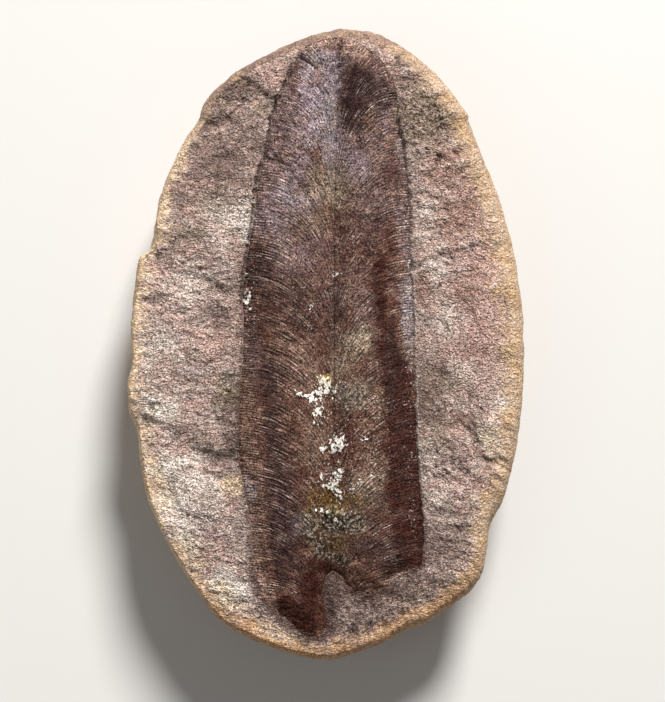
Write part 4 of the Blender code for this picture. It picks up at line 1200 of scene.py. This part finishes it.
def leafMaterial():  # a thin coal and mineral film, smoother and darker than the stone
    look = leafLook
    material, tree, place, masks = startMaterial("fossil_leaf_film", [
        *look["tints"], "worn", "vein", "groove", "straw", "seam", "kaolin", "dust", "flowRow",
        "flowAlong"])
    streak = veinStreaks(tree, masks)
    mottle = grit(tree, place, **look["mottle"])
    patchy = addNode(tree, "ShaderNodeMapRange", dict(enumerate((mottle, *look["patchy"]))))
    color = filmTone(tree, place, masks, patchy, streak)
    color = shadeBy(tree, color, [
        (streak, 0.3, 0.7, 0.6, 1.4),
        (grit(tree, place, **look["grain"]), 0.3, 0.7, 0.12, 2.0),
        (mottle, 0.36, 0.64, 0.75, 1.25),
        # the last two are painted shade, in the grooves between veins, slightly lighter on the ridges,
        # and along fine creases
        (masks["groove"], 0.0, 1.0, 1.1, 0.64),
        (wrinkle(tree, place, **look["crinkle"]), 0.0, 0.05, 0.62, 1.1),
    ])
    color = crustOver(tree, place, masks, patchy, color)
    roughness = addNode(tree, "ShaderNodeMapRange", {
        0: masks["maroon"], 3: look["roughness"], 4: look["maroonRoughness"]})
    height = addNode(tree, "ShaderNodeMath", {
        0: streak, 1: look["streakDepth"], 2: grit(tree, place, **look["relief"])},
        operation="MULTIPLY_ADD")
    return finishMaterial(material, look, color, roughness, height)

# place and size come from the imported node

low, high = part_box("nodule_half")
wholeRing = closedRing(nodule["left"], nodule["right"], stone["around"])
unit = (high.y - low.y) / np.ptp(wholeRing[:, 1])  # metres to one millimetre of the drawing
ringMiddle = (wholeRing.max(axis=0) + wholeRing.min(axis=0)) / 2
middle = np.array([ringMiddle[0] - (low.x + high.x) / 2 / unit,
                   ringMiddle[1] - (low.y + high.y) / 2 / unit, -low.z / unit])

makeStone(ironstoneMaterial())
print("stone made")
makeLeaf(leafMaterial())
print("leaf made")


# floor, light and camera

studio = {
    "floorTone": "#d8d5d0",
    "aim": (0.00095, -0.00102, 0.012),
    "lens": 85.0, "sensor": 24.0, "frameHeight": 0.10235,  # height of the view where it is aimed
    "keyPlace": (0.26, 0.92, 0.7), "keySize": 0.36, "keyPower": 27.0,
    "fillPlace": (-0.4, -0.2, 0.5), "fillSize": 0.6, "fillPower": 0.5,
    "sky": 0.15,
}


def makeFloor():
    bm = bmesh.new()
    bmesh.ops.create_grid(bm, x_segments=1, y_segments=1, size=1.5)
    mesh = bpy.data.meshes.new("floor")
    bm.to_mesh(mesh)
    bm.free()
    floor = bpy.data.objects.new("floor", mesh)
    bpy.context.scene.collection.objects.link(floor)
    material = bpy.data.materials.new("plain_card")  # matt studio card
    material.use_nodes = True
    shader = material.node_tree.nodes["Principled BSDF"]
    shader.inputs["Base Color"].default_value = hexColor(studio["floorTone"])
    shader.inputs["Roughness"].default_value = 0.9
    mesh.materials.append(material)


def makeLight(name, place, size, power):
    data = bpy.data.lights.new(name, "AREA")
    data.shape = "DISK"
    data.size = size
    data.energy = power
    light = bpy.data.objects.new(name, data)
    light.location = place
    toAim = Vector(studio["aim"]) - Vector(place)
    light.rotation_euler = toAim.to_track_quat("-Z", "Y").to_euler()
    bpy.context.scene.collection.objects.link(light)


def makeCamera():
    data = bpy.data.cameras.new("camera")
    data.sensor_fit = "VERTICAL"
    data.sensor_height = studio["sensor"]
    data.lens = studio["lens"]
    data.clip_start = 0.01
    camera = bpy.data.objects.new("camera", data)
    distance = studio["frameHeight"] * studio["lens"] / studio["sensor"]
    camera.location = Vector(studio["aim"]) + Vector((0.0, 0.0, distance))
    bpy.context.scene.collection.objects.link(camera)
    bpy.context.scene.camera = camera


makeFloor()
makeLight("key", studio["keyPlace"], studio["keySize"], studio["keyPower"])
makeLight("fill", studio["fillPlace"], studio["fillSize"], studio["fillPower"])
makeCamera()
world = bpy.data.worlds.new("studio")
world.use_nodes = True
world.node_tree.nodes["Background"].inputs["Color"].default_value = (1.0, 1.0, 1.0, 1.0)
world.node_tree.nodes["Background"].inputs["Strength"].default_value = studio["sky"]
bpy.context.scene.world = world
bpy.context.scene.view_settings.view_transform = "Standard"
print("studio made")
